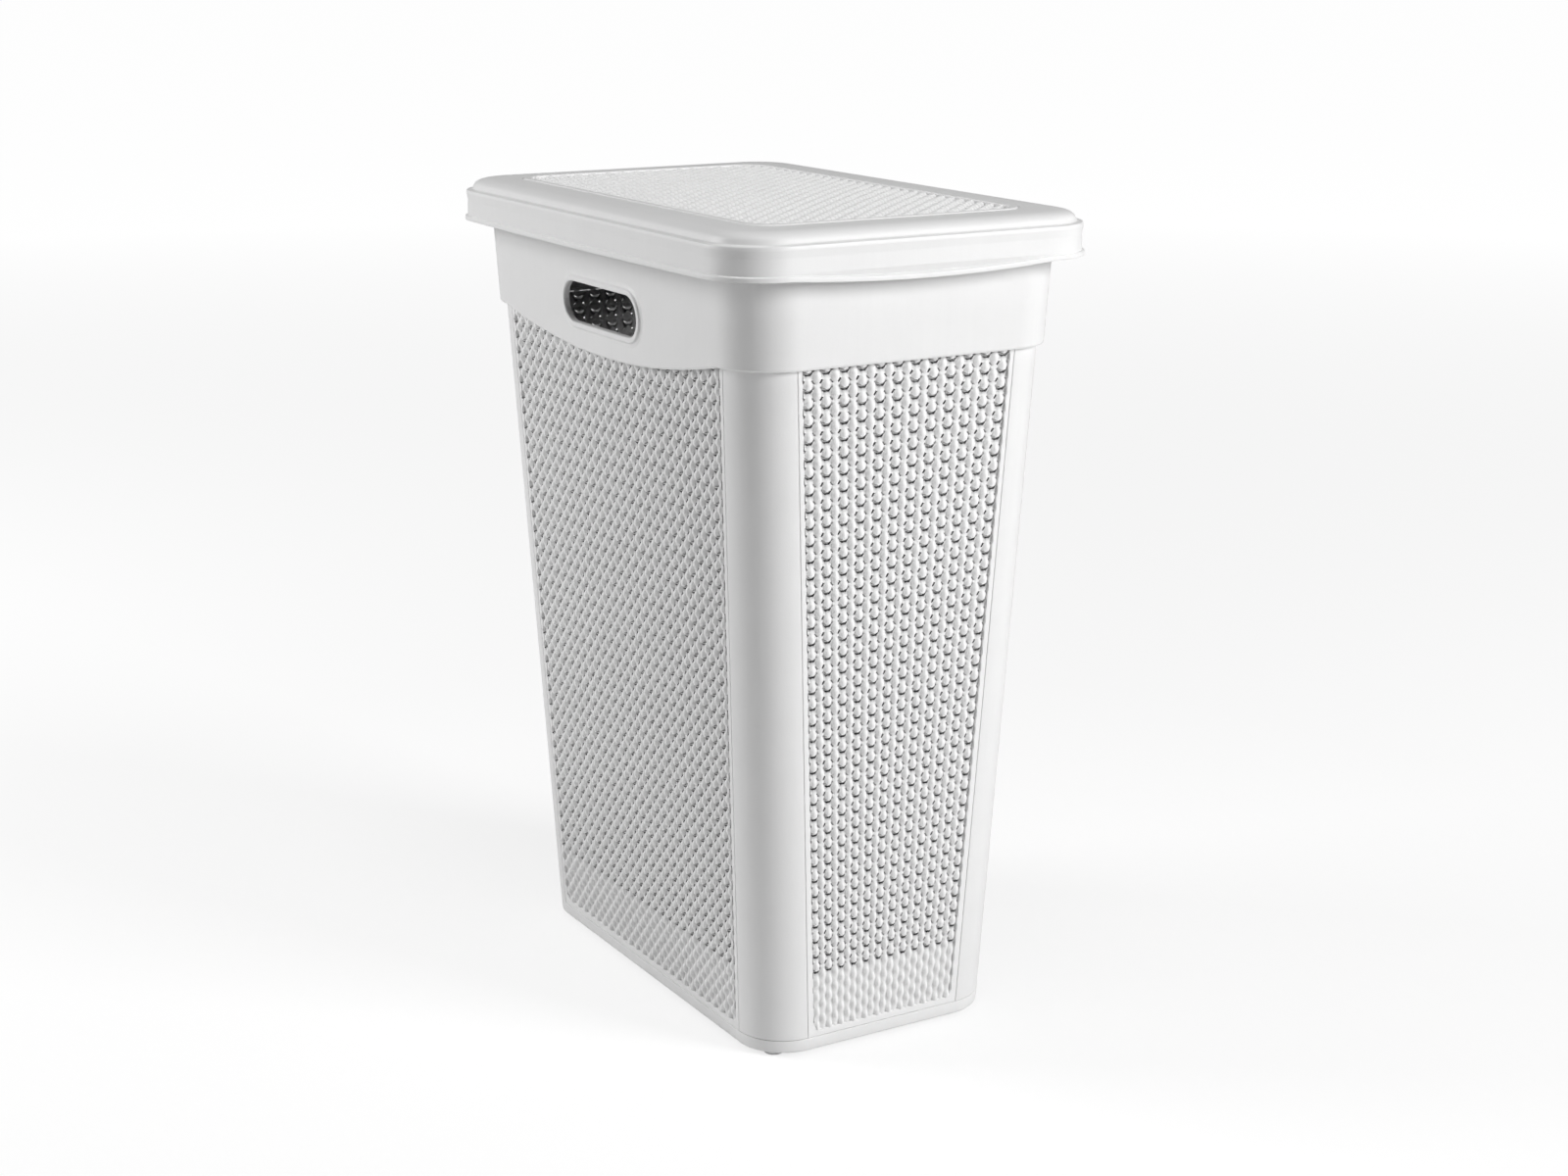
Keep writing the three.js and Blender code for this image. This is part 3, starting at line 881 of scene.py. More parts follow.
class SharedEffects:
    """Shader node groups that several finishes use, each built once."""

    def __init__(self) -> None:
        """Builds the groups."""
        self.grain = self._grain()
        self.streaks = self._streaks()
        self.handling = self._handling()

    @staticmethod
    def _group(
        name: str, inputs: dict[str, tuple[str, object]], outputs: dict[str, str]
    ) -> tuple[Nodes, Node, Node]:
        """Starts a group.

        Args:
            name: the group's name.
            inputs: socket type and default of each named input.
            outputs: socket type of each named output.

        Returns:
            The tree's helper, and its input and output nodes.
        """
        tree = bpy.data.node_groups.new(name, "ShaderNodeTree")
        for key, (kind, value) in inputs.items():
            socket = tree.interface.new_socket(key, in_out="INPUT", socket_type=kind)
            if value is not None:
                socket.default_value = value
        for key, kind in outputs.items():
            tree.interface.new_socket(key, in_out="OUTPUT", socket_type=kind)
        n = Nodes(tree)
        return n, n.add("NodeGroupInput"), n.add("NodeGroupOutput")

    def _grain(self) -> NodeTree:
        """The fine sparkle of a spark-eroded mould: a bump height and a small tone change."""
        n, given, result = self._group(
            "mould_grain",
            {
                "Place": ("NodeSocketVector", None),
                "Fineness": ("NodeSocketFloat", 900.0),
                "Unevenness": ("NodeSocketFloat", 0.5),
            },
            {"Height": "NodeSocketFloat", "Tone": "NodeSocketFloat"},
        )
        fine = n.noise(given.outputs["Place"], given.outputs["Fineness"], 3.0)
        broad = n.noise(given.outputs["Place"], 34.0, 2.0)
        swell = n.times(broad, given.outputs["Unevenness"])
        n.feed(result.inputs["Height"], n.plus(fine, swell))
        n.feed(result.inputs["Tone"], n.minus(broad, 0.5))
        return n.tree

    def _streaks(self) -> NodeTree:
        """Faint upright streaks, as left by drawing the moulding from its tool."""
        n, given, result = self._group(
            "draw_streaks",
            {
                "Place": ("NodeSocketVector", None),
                "Closeness": ("NodeSocketFloat", 260.0),
                "Length": ("NodeSocketFloat", 0.02),
            },
            {"Height": "NodeSocketFloat", "Tone": "NodeSocketFloat"},
        )
        x, y, z = n.split(given.outputs["Place"])
        drawn = n.join(x, y, n.times(z, given.outputs["Length"]))
        lines = n.noise(drawn, given.outputs["Closeness"], 2.0)
        n.feed(result.inputs["Height"], lines)
        n.feed(result.inputs["Tone"], n.minus(lines, 0.5))
        return n.tree

    def _handling(self) -> NodeTree:
        """Where hands and washing have polished or scuffed the surface."""
        n, given, result = self._group(
            "handling_marks",
            {
                "Place": ("NodeSocketVector", None),
                "Patch size": ("NodeSocketFloat", 9.0),
                "Scuff fineness": ("NodeSocketFloat", 140.0),
            },
            {"Polish": "NodeSocketFloat", "Scuff": "NodeSocketFloat"},
        )
        patches = n.noise(given.outputs["Place"], given.outputs["Patch size"], 3.0)
        stretched = n.vector("MULTIPLY", given.outputs["Place"], (1.0, 0.35, 1.6))
        scratches = n.noise(stretched, given.outputs["Scuff fineness"], 4.0)
        sharp = n.add(
            "ShaderNodeMapRange",
            {"Value": scratches, "From Min": 0.62, "From Max": 0.72},
        )
        n.feed(result.inputs["Polish"], n.minus(patches, 0.5))
        n.feed(
            result.inputs["Scuff"], n.times(sharp.outputs[0], patches)
        )
        return n.tree


@dataclass(frozen=True)
class PlasticFinish:
    """A satin white polypropylene finish.

    Attributes:
        name: the material's name, which is also the record's slot.
        shade: base colour, as one linear grey.
        warmth: how much less blue than red the shade holds.
        roughness: mean roughness.
        grain: bump depth of the mould's grain, in metres.
        streak: strength of the upright streaks in the tone.
        painted_recess_shade: how much painted shade greys the recesses of the knit, in place of
            the shadow that falls in them.
        mottle: strength of the broad unevenness in the tone.
        scuff_tone: how much scuffs darken.
        polish: how far handling moves the roughness.
        scuff_rough: how much scuffs roughen.
        ior: index of refraction.
        specular: strength of the sheen.
    """

    name: str
    shade: float = 0.83
    warmth: float = 0.001
    roughness: float = 0.42
    grain: float = 0.00004
    streak: float = 0.02
    painted_recess_shade: float = 0.0
    mottle: float = 0.03
    scuff_tone: float = 0.015
    polish: float = 0.10
    scuff_rough: float = 0.12
    ior: float = 1.49
    specular: float = 0.45

    def build(self, effects: SharedEffects) -> Material:
        """Makes the material.

        Args:
            effects: the shared groups.

        Returns:
            The material.
        """
        material = bpy.data.materials.new(self.name)
        n = emptied(material)
        place = n.add("ShaderNodeTexCoord").outputs["Object"]
        grain = self._use(n, effects.grain, place)
        streaks = self._use(n, effects.streaks, place)
        marks = self._use(n, effects.handling, place)

        tone = n.plus(
            n.times(grain.outputs["Tone"], self.mottle),
            n.times(streaks.outputs["Tone"], self.streak),
        )
        tone = n.minus(tone, n.times(marks.outputs["Scuff"], self.scuff_tone))
        # Painted shade: the knit's recesses are greyed by their depth, in place of the shadow that
        # falls in them. The plastic itself is clean.
        if self.painted_recess_shade:
            relief = n.add("ShaderNodeAttribute", attribute_name="relief").outputs["Fac"]
            hollow = n.math("POWER", n.minus(1.0, relief), 2.0)
            tone = n.minus(tone, n.times(hollow, self.painted_recess_shade))
        bright = n.plus(tone, self.shade)
        red, blue = (n.math(how, bright, self.warmth) for how in ("ADD", "SUBTRACT"))
        colour = n.add("ShaderNodeCombineColor", {0: red, 1: bright, 2: blue})
        rough = n.plus(
            n.times(marks.outputs["Polish"], self.polish),
            n.math("MULTIPLY_ADD", marks.outputs["Scuff"], self.scuff_rough, self.roughness),
        )
        height = n.plus(
            grain.outputs["Height"], n.times(streaks.outputs["Height"], 0.5)
        )
        bump = n.add(
            "ShaderNodeBump", {"Height": height, "Distance": self.grain, "Strength": 1.0}
        )
        shader = n.add(
            "ShaderNodeBsdfPrincipled",
            {
                "Base Color": colour.outputs[0],
                "Roughness": rough,
                "Normal": bump.outputs[0],
                "IOR": self.ior,
                "Specular IOR Level": self.specular,
            },
        )
        n.add("ShaderNodeOutputMaterial", {"Surface": shader.outputs[0]})
        return material

    @staticmethod
    def _use(n: Nodes, group: NodeTree, place: NodeSocket) -> Node:
        """Places a shared group in a material and gives it its coordinates."""
        node = n.add("ShaderNodeGroup", node_tree=group)
        n.feed(node.inputs["Place"], place)
        return node


@dataclass
class Workshop:
    """What every sub-assembly needs: the sizes, the frame's nodes and the finishes.

    Attributes:
        sizes: the hamper's shared sizes.
        nodes: the CAD nodes by name.
        finishes: the material of each of the record's slots.
    """

    sizes: HamperSizes
    nodes: dict[str, Object]
    finishes: dict[str, Material]

    def finish(self, obj: Object, slot: str, body: str, *replaced: str) -> Object:
        """Dresses a piece, puts it on its body and hides the CAD nodes it stands for.

        Args:
            obj: the piece.
            slot: the record's material slot.
            body: the CAD body it moves with.
            replaced: CAD nodes that it stands for.

        Returns:
            The piece.
        """
        obj.data.materials.clear()
        obj.data.materials.append(self.finishes[slot])
        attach(obj, body)
        if replaced:
            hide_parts(*replaced)
        LOG.info("%s rides on %s with %d faces", obj.name, body, len(obj.data.polygons))
        return obj


# ---- Tub ----


@dataclass
class Base:
    """The floor with its upstanding edge, and the feet.

    Attributes:
        foot_edge: rounding of the feet.
    """

    lower_edge: float = 2.2 * MM
    upper_edge: float = 0.7 * MM
    inner_edge: float = 1.6 * MM
    foot_edge: float = 0.5 * MM

    def build(self, shop: Workshop) -> None:
        """Builds the base and its four feet."""
        shop.finish(self._dish(shop.sizes), "smooth_plastic", "tub", "base")
        for node in ("front_left", "front_right", "rear_left", "rear_right"):
            name = f"foot_{node}"
            pad = softened(copied(shop.nodes[name], f"{name}_pad"), self.foot_edge)
            shop.finish(pad, "small_parts", "tub", name)

    def _dish(self, sizes: HamperSizes) -> Object:
        """The floor and its edge as one closed body."""
        stations = stations_round(16, 2, 2)
        inside = sizes.floor_z + sizes.wall
        reach = 8 * MM
        section = rounded(
            [
                (-reach, sizes.floor_z, 0.0),
                (0.0, sizes.floor_z, self.lower_edge),
                (0.0, sizes.base_top, self.upper_edge),
                (-sizes.wall, sizes.base_top, self.upper_edge),
                (-sizes.wall, inside, self.inner_edge),
                (-reach, inside, 0.0),
            ],
            closed=False,
        )
        rows = [
            [s.at(sizes.wall_half(z, a), sizes.corner_radius + a, z) for s in stations]
            for a, z in section
        ]
        n = len(stations)
        faces = [
            (i * n + k, i * n + (k + 1) % n, (i + 1) * n + (k + 1) % n, (i + 1) * n + k)
            for i in range(len(rows) - 1)
            for k in range(n)
        ]
        last = (len(rows) - 1) * n
        faces.append(tuple(range(n)))
        faces.append(tuple(range(last, last + n)))
        return mesh_object("base_dish", [p for row in rows for p in row], faces)


@dataclass
class CornerPosts:
    """The four plain rounded corners between the knit panels."""

    arc_steps: int = 20
    edge: float = 0.7 * MM
    seam: float = 0.3 * MM

    def build(self, shop: Workshop) -> None:
        """Builds the four posts."""
        for name, sx, sy in (
            ("front_left", -1, -1),
            ("front_right", 1, -1),
            ("rear_left", -1, 1),
            ("rear_right", 1, 1),
        ):
            node = f"corner_post_{name}"
            post = softened(self._post(shop.sizes, f"{node}_shell", sx, sy), self.edge, 3)
            shop.finish(post, "smooth_plastic", "tub", node)

    def _post(self, sizes: HamperSizes, name: str, sx: int, sy: int) -> Object:
        """One post as a closed quarter-round shell."""
        levels = (sizes.base_top + self.seam, sizes.wall_top)
        points: list[Point3] = []
        for z in levels:
            for offset, order in ((0.0, 1), (-sizes.wall, -1)):
                half = sizes.wall_half(z, offset)
                radius = sizes.corner_radius + offset
                arc = [k / self.arc_steps * QUARTER for k in range(self.arc_steps + 1)]
                for angle in arc[::order]:
                    x = half[0] - radius + radius * math.cos(angle)
                    y = half[1] - radius + radius * math.sin(angle)
                    points.append((sx * x, sy * y, z))
        n = len(points) // 2
        m = self.arc_steps + 1
        faces: list[tuple[int, ...]] = []
        for k in range(n):
            j = (k + 1) % n
            faces.append((k, j, n + j, n + k))
        for low in (0, n):
            for k in range(m - 1):
                faces.append((low + k, low + k + 1, low + n - 2 - k, low + n - 1 - k))
        return mesh_object(name, points, faces)


@dataclass
class WallKnit:
    """How the knit is set out on one pair of walls.

    Attributes:
        columns: columns of stitches set out, cut at the window.
        window_columns: half the window's width, in columns.
        low_pitch: column width at the first open row.
        high_pitch: column width at the last open row.
    """

    columns: int
    window_columns: float
    low_pitch: float
    high_pitch: float


@dataclass
class KnitWalls:
    """The four knit panels with their plain borders.

    Attributes:
        border_relief: the border's level on the stitch's own scale of relief, which sets how much
            of the knit's painted recess shade greys it.
        overlap: how far the border laps the knit.
    """

    short: WallKnit = field(
        default_factory=lambda: WallKnit(14, 5.83, 10.6 * MM, 14.4 * MM)
    )
    long: WallKnit = field(
        default_factory=lambda: WallKnit(28, 12.36, 11.5 * MM, 13.2 * MM)
    )
    open_rows: int = 38
    blind_rows: int = 5
    row_height: float = 11.85 * MM
    first_row: float = 68.0 * MM
    window_bottom: float = 18.0 * MM
    window_radius: float = 6.0 * MM
    border_edge: float = 0.6 * MM
    border_depth: float = 3.4 * MM
    border_relief: float = 0.63
    corner_steps: int = 6
    overlap: float = 0.25 * MM
    seam: float = 0.3 * MM

    def build(self, shop: Workshop, tree: KnitTree, stitches: dict[str, Object]) -> None:
        """Builds the four panels.

        Args:
            shop: sizes, nodes and finishes.
            tree: the upright knit tree.
            stitches: the open and the blind stitch.
        """
        for long in (False, True):
            knit = self._knit(shop, tree, stitches, long)
            border = self._border(shop.sizes, long)
            for side in Side:
                if side.is_long is not long:
                    continue
                node = f"{side.name.lower()}_panel"
                piece = joined(f"{node}_knit", [knit, border])
                piece.data.transform(side.turn)
                shop.finish(piece, "knit_plastic", "tub", node)
            for used in (knit, border):
                bpy.data.objects.remove(used)

    def _top(self, sizes: HamperSizes) -> float:
        """Height of the window's upper edge, which lies above the cut behind the collar."""
        return sizes.wall_top + 2 * self.window_radius

    def _pitch(self, wall: WallKnit) -> tuple[float, float]:
        """How much wider a column grows for each metre up, and its width at the first open row."""
        rise = (self.open_rows - 1) * self.row_height
        growth = (wall.high_pitch - wall.low_pitch) / rise
        return growth, wall.low_pitch

    def _knit(
        self, shop: Workshop, tree: KnitTree, stitches: dict[str, Object], long: bool
    ) -> Object:
        """The knit of one wall, built at the front."""
        sizes = shop.sizes
        wall = self.long if long else self.short
        top = self._top(sizes)
        middle = (top + self.window_bottom) / 2
        growth, low = self._pitch(wall)
        mean = low + growth * (middle - self.first_row)
        start = sizes.base_half[0 if long else 1] - sizes.draft * sizes.base_top
        return tree.bake(
            "wall_knit",
            {
                "Open stitch": stitches["open"],
                "Blind stitch": stitches["blind"],
                "Columns": wall.columns,
                "Open rows": self.open_rows,
                "Blind rows": self.blind_rows,
                "Column width": mean,
                "Row height": self.row_height,
                "First row level": self.first_row,
                "Widening": growth / mean,
                "Window middle": middle,
                "Window half width": wall.window_columns * mean,
                "Window half height": (top - self.window_bottom) / 2,
                "Window radius": self.window_radius,
                "Cut level": sizes.wall_top - middle,
                "Relief": MM,
                "Face distance": start,
                "Lean": sizes.draft,
                "Material": shop.finishes["knit_plastic"],
            },
        )

    def _border(self, sizes: HamperSizes, long: bool) -> Object:
        """The plain border round one knit panel, built at the front."""
        wall = self.long if long else self.short
        growth, low = self._pitch(wall)
        across, away = (1, 0) if long else (0, 1)
        inner_radius = self.window_radius - self.overlap
        foot = sizes.base_top + self.seam

        def edge(z: float) -> float:
            """The border's outer edge at a height."""
            return sizes.wall_half(z)[across] - sizes.corner_radius - self.seam

        def window(z: float) -> float:
            """The border's inner edge at a height, lapping the knit."""
            return wall.window_columns * (low + growth * (z - self.first_row)) - self.overlap

        half: list[tuple[Point2, Point2]] = []
        for z in (sizes.wall_top, (sizes.wall_top + foot) / 2):
            half.append(((edge(z), z), (window(z), z)))
        for k in range(self.corner_steps + 1):
            share = k / self.corner_steps
            angle = share * QUARTER
            z = self.window_bottom + self.overlap + inner_radius * (1 - math.sin(angle))
            x = window(z) - inner_radius * (1 - math.cos(angle))
            outer = (edge(z), z) if share < 0.5 else (x, foot)
            half.append(((edge(foot), foot) if share == 0.5 else outer, (x, z)))
        half.append(((0.0, foot), (0.0, self.window_bottom + self.overlap)))
        left = [((-o[0], o[1]), (-i[0], i[1])) for o, i in reversed(half[:-1])]
        outline = half + left

        def place(p: Point2, depth: float) -> Point3:
            """A point of the border at a depth in the wall."""
            return p[0], -(sizes.wall_half(p[1])[away] + depth), p[1]

        back = -self.border_depth
        rows = [
            [place(outer, 0.0), place(inner, 0.0), place(inner, back), place(outer, back)]
            for outer, inner in outline
        ]
        faces = quads(len(rows), 4, is_ring=False)
        end = (len(rows) - 1) * 4
        faces += [(0, 1, 2, 3), (end, end + 1, end + 2, end + 3)]
        border = mesh_object("wall_border", [p for row in rows for p in row], faces)
        border = softened(border, self.border_edge, 2)
        # Painted shade: this level sets how far the knit finish's painted recess shade greys the
        # border.
        relief = border.data.attributes.new("relief", "FLOAT", "POINT")
        relief.data.foreach_set("value", [self.border_relief] * len(border.data.vertices))
        return border


def joined(name: str, parts: Sequence[Object]) -> Object:
    """Copies several meshes into one new object.

    Args:
        name: the new object's name.
        parts: the objects to copy from, all at the origin.

    Returns:
        The new object.
    """
    whole = bmesh.new()
    for part in parts:
        whole.from_mesh(part.data)
    mesh = bpy.data.meshes.new(name)
    whole.to_mesh(mesh)
    whole.free()
    mesh.shade_smooth()
    return linked(name, mesh)


@dataclass
class Collar:
    """The smooth collar with its hand holes and their beads.

    Attributes:
        height: from the ledge to the rim.
        dip: how far its lower edge sags on the long sides.
        hole: length and height of a hand hole.
        hole_drop: the hole's middle below the rim.
        bezel_reach: the bead's outer edge beyond the hole.
        hole_lap: how far the bead laps the opening cut for it.
    """

    height: float = 88.0 * MM
    dip: float = 18.0 * MM
    ledge: float = 3.0 * MM
    turn_in: float = 1.5 * MM
    hole: Point2 = (115.0 * MM, 30.0 * MM)
    hole_drop: float = 70.0 * MM
    bezel_reach: float = 8.0 * MM
    bezel_proud: float = 2.0 * MM
    hole_lap: float = 1.5 * MM

    def build(self, shop: Workshop) -> None:
        """Builds the collar and both beads."""
        band = self._band(shop.sizes)
        for sx in (-1, 1):
            tool = self._plug(shop.sizes, sx)
            cut = band.modifiers.new("hole", "BOOLEAN")
            cut.operation, cut.solver, cut.object = "DIFFERENCE", "EXACT", tool
            baked(band)
            bpy.data.objects.remove(tool)
        band.data.shade_smooth()
        band.data.set_sharp_from_angle(angle=SHARP_ANGLE)
        weigh = band.modifiers.new("shading", "WEIGHTED_NORMAL")
        weigh.keep_sharp = True
        baked(band)
        shop.finish(band, "smooth_plastic", "tub", "collar")
        for name, sx in (("left", -1), ("right", 1)):
            node = f"handle_bezel_{name}"
            shop.finish(self._bezel(shop.sizes, f"{node}_bead", sx), "smooth_plastic", "tub", node)

    def _band(self, sizes: HamperSizes) -> Object:
        """The collar as a closed ring, before its holes."""
        ledge_z = sizes.rim_z - self.height
        inside = sizes.collar_proud - sizes.wall
        proud = sizes.collar_proud

        def section(s: Station) -> list[Point3]:
            """The collar's closed section at one station."""
            drop = self.dip * s.sag if s.side and s.side.is_long else 0.0
            edge = ledge_z - drop
            corners = [
                (proud - self.turn_in / 2, edge, 0.5 * MM),
                (proud, edge + self.turn_in, 1.2 * MM),
                (proud, sizes.rim_z, 1.2 * MM),
                (inside, sizes.rim_z, 0.9 * MM),
                (inside, ledge_z + self.ledge, 1.4 * MM),
                (-sizes.wall, ledge_z + self.ledge, 0.9 * MM),
                (-sizes.wall, ledge_z + 0.1 * MM, 0.5 * MM),
                (inside, ledge_z + 0.1 * MM, 0.0),
                (inside, edge, 0.4 * MM),
            ]
            return [
                s.at(sizes.wall_half(z, a), sizes.corner_radius + a, z)
                for a, z in rounded(corners)
            ]

        return ring_object("collar_band", stations_round(18, 32, 4), section)

    def _frame(self, sizes: HamperSizes, sx: int) -> Matrix:
        """The place of a hand hole: X along it, Y up the wall, Z out of the wall."""
        z = sizes.rim_z - self.hole_drop
        basis = Matrix(((0, 0, sx), (sx, 0, 0), (0, 1, 0))).to_4x4()
        lean = Matrix.Rotation(sx * math.atan(sizes.draft), 4, "Y")
        x = sizes.wall_half(z, sizes.collar_proud)[0]
        return Matrix.Translation((sx * x, 0.0, z)) @ lean @ basis

    def _stadium(self, grow: float, steps: int = 14) -> list[tuple[Point2, Point2]]:
        """The hole's outline moved out by grow, as (point, outward direction) pairs."""
        radius = self.hole[1] / 2
        straight = self.hole[0] / 2 - radius
        parts = 6
        loop: list[tuple[Point2, Point2]] = []
        for sign, start in ((1, -QUARTER), (-1, QUARTER)):
            for k in range(steps + 1):
                angle = start + k / steps * math.pi
                c, s = math.cos(angle), math.sin(angle)
                loop.append(((sign * straight + c * (radius + grow), s * (radius + grow)), (c, s)))
            for k in range(1, parts):
                x = sign * straight * (1 - 2 * k / parts)
                loop.append(((x, sign * (radius + grow)), (0.0, float(sign))))
        return loop

    def _plug(self, sizes: HamperSizes, sx: int) -> Object:
        """The closed prism that cuts one hand hole."""
        reach = 12 * MM
        loop = [p for p, _ in self._stadium(self.bezel_reach - self.hole_lap)]
        points = [(x, y, z) for z in (-reach, reach) for x, y in loop]
        n = len(loop)
        faces: list[tuple[int, ...]] = [(k, (k + 1) % n, n + (k + 1) % n, n + k) for k in range(n)]
        faces += [tuple(range(n)), tuple(range(n, 2 * n))]
        plug = mesh_object("hole_plug", points, faces)
        plug.data.transform(self._frame(sizes, sx))
        return plug

    def _bezel(self, sizes: HamperSizes, name: str, sx: int) -> Object:
        """The rounded bead that lines one hand hole."""
        back = -sizes.wall - 0.6 * MM
        section = rounded(
            [
                (0.0, back, 0.5 * MM),
                (0.0, self.bezel_proud, 1.5 * MM),
                (3.6 * MM, self.bezel_proud, 1.3 * MM),
                (4.8 * MM, 0.55 * MM, 1.2 * MM),
                (self.bezel_reach, -0.12 * MM, 0.3 * MM),
                (self.bezel_reach, -0.8 * MM, 0.0),
                (4.0 * MM, back, 0.6 * MM),
            ],
            steps=4,
        )
        loops = self._stadium(0.0, 16)
        points = [
            (x + dx * out, y + dy * out, h) for (x, y), (dx, dy) in loops for out, h in section
        ]
        bead = mesh_object(name, points, quads(len(loops), len(section)))
        bead.data.transform(self._frame(sizes, sx))
        return bead


# ---- Lid ----


@dataclass
class LidFrame:
    """The moulded frame of the lid: lip, skirt, ledge, dome and the panel's border.

    Insets are measured in from the lip's outline. Each row of a section is an inset, a height
    and a rounding.

    Attributes:
        overlap: how far the frame laps the cut edge of the knit.
        rib_depth: how far the rib round the panel turns down.
    """

    front_droop: float = 4.3 * MM
    side_droop: float = 1.0 * MM
    scoop: float = 3.6 * MM
    scoop_top: float = 4.5 * MM
    lip_height: float = 3.2 * MM
    skirt_inset: float = 1.9 * MM
    ledge_inset: float = 6.5 * MM
    shoulder_inset: float = 22.0 * MM
    panel_inset: float = 43.0 * MM
    overlap: float = 1.2 * MM
    rib_depth: float = 5.0 * MM
    panel_radius: float = 22.0 * MM
    dome_rise: float = 7.9 * MM
    border_rise: float = 0.6 * MM
    dome_fullness: float = 0.8
    crown: float = 1.5 * MM
    dome_steps: int = 8

    def build(self, shop: Workshop) -> None:
        """Builds the frame."""
        sizes = shop.sizes
        ring = ring_object(
            "lid_frame_shell", stations_round(18, 32, 24), lambda s: self._section(sizes, s)
        )
        shop.finish(ring, "smooth_plastic", "lid", "lid_frame")

    def levels(self, sizes: HamperSizes) -> tuple[float, float, float]:
        """Heights of the panel's border, the shoulder and the dome's foot."""
        border = sizes.lid_top - self.crown
        shoulder = border - self.border_rise
        return border, shoulder, shoulder - self.dome_rise

    def _dome(self, foot: float, depth: float) -> list[Point3]:
        """The dome's section on a surface set in by depth, from its foot upwards."""
        reach = self.shoulder_inset - self.ledge_inset - depth
        turns = [k / self.dome_steps * QUARTER for k in range(1, self.dome_steps + 1)]
        return [
            (
                self.shoulder_inset - reach * max(math.cos(a), 0.0) ** self.dome_fullness,
                foot - depth + self.dome_rise * math.sin(a) ** self.dome_fullness,
                0.0,
            )
            for a in turns
        ]

    def _section(self, sizes: HamperSizes, s: Station) -> list[Point3]:
        """The frame's closed section at one station."""
        border, _, foot = self.levels(sizes)
        is_front = s.side is Side.FRONT
        droop = (self.front_droop if is_front else self.side_droop) * s.sag
        scoop = self.scoop * s.sag if is_front else 0.0
        lip = sizes.lip_z - droop
        edge = sizes.lip_z + self.scoop_top
        wall, inner = sizes.wall, self.panel_inset + self.overlap
        outer = [
            (0.0, lip, 0.5 * MM),
            (0.0, lip + self.lip_height, 0.7 * MM),
            (self.skirt_inset + scoop, lip + self.lip_height + 0.5 * MM, 0.4 * MM),
            (self.skirt_inset, edge, 0.3 * MM),
            (2.3 * MM, sizes.lip_z + 15 * MM, 6.0 * MM),
            (1.3 * MM, foot - 3.2 * MM, 2.0 * MM),
            (1.5 * MM, foot - 0.5 * MM, 1.1 * MM),
            (5.9 * MM, foot + 0.1 * MM, 1.2 * MM),
            *self._dome(foot, 0.0),
            (inner - 5.6 * MM, border - 0.45 * MM, 0.6 * MM),
            (inner - 4.6 * MM, border - 1.0 * MM, 0.4 * MM),
            (inner - 3.6 * MM, border + 0.2 * MM, 0.7 * MM),
            (inner, border + 0.25 * MM, 0.9 * MM),
        ]
        under = [
            (inner, border - self.rib_depth, 0.3 * MM),
            (inner - wall, border - self.rib_depth, 0.3 * MM),
            (inner - wall, border - wall, 0.3 * MM),
            *reversed(self._dome(foot, wall)),
            (1.4 * MM + wall, foot - 3.2 * MM, 2.0 * MM),
            (2.2 * MM + wall, sizes.lip_z + 14 * MM, 4.0 * MM),
            (2.0 * MM + wall + scoop, lip + self.lip_height + 1.4 * MM, 1.2 * MM),
            (wall, lip, 0.5 * MM),
        ]
        points = []
        for inset, z in rounded(outer + under):
            half = (sizes.lid_half[0] - inset, sizes.lid_half[1] - inset)
            radius = max(sizes.lid_radius - inset, self.panel_radius)
            points.append(s.at(half, radius, z))
        return points


@dataclass
class LidPanel:
    """The crowned knit panel in the lid.

    Attributes:
        edge_gap: from the frame's panel inset to the knit's cut edge.
        sink: how far the knit lies below the border, which keeps it under the lid's top.
        relief: how much deeper the stitches are than on the walls.
    """

    columns: int = 19
    rows: int = 34
    column_width: float = 12.6 * MM
    row_height: float = 12.1 * MM
    edge_gap: float = 0.35 * MM
    sink: float = 1.55 * MM
    relief: float = 1.5

    def build(self, shop: Workshop, tree: KnitTree, stitch: Object, frame: LidFrame) -> None:
        """Builds the panel.

        Args:
            shop: sizes, nodes and finishes.
            tree: the flat knit tree.
            stitch: the blind stitch.
            frame: the lid's frame, whose opening it fills.
        """
        sizes = shop.sizes
        border, _, _ = frame.levels(sizes)
        inset = frame.panel_inset + self.edge_gap
        panel = tree.bake(
            "lid_panel_knit",
            {
                "Open stitch": stitch,
                "Blind stitch": stitch,
                "Columns": self.columns,
                "Open rows": self.rows // 2,
                "Blind rows": self.rows // 2,
                "Column width": self.column_width,
                "Row height": self.row_height,
                "First row level": self.row_height / 2,
                "Widening": 0.0,
                "Window middle": 0.0,
                "Window half width": sizes.lid_half[0] - inset,
                "Window half height": sizes.lid_half[1] - inset,
                "Window radius": frame.panel_radius,
                "Cut level": sizes.lid_half[1],
                "Relief": self.relief * MM,
                "Face distance": border - self.sink,
                "Lean": frame.crown,
                "Material": shop.finishes["knit_plastic"],
            },
        )
        shop.finish(panel, "knit_plastic", "lid", "lid_panel")


@dataclass
class HingeParts:
    """The brackets on the tub and the clips under the lid, with eased edges."""

    edge: float = 0.35 * MM

    def build(self, shop: Workshop) -> None:
        """Builds both brackets and both clips."""
        for side in ("left", "right"):
            for node, body in ((f"hinge_bracket_{side}", "tub"), (f"lid_clip_{side}", "lid")):
                piece = softened(copied(shop.nodes[node], f"{node}_eased"), self.edge)
                shop.finish(piece, "small_parts", body, node)


# ---- Studio ----


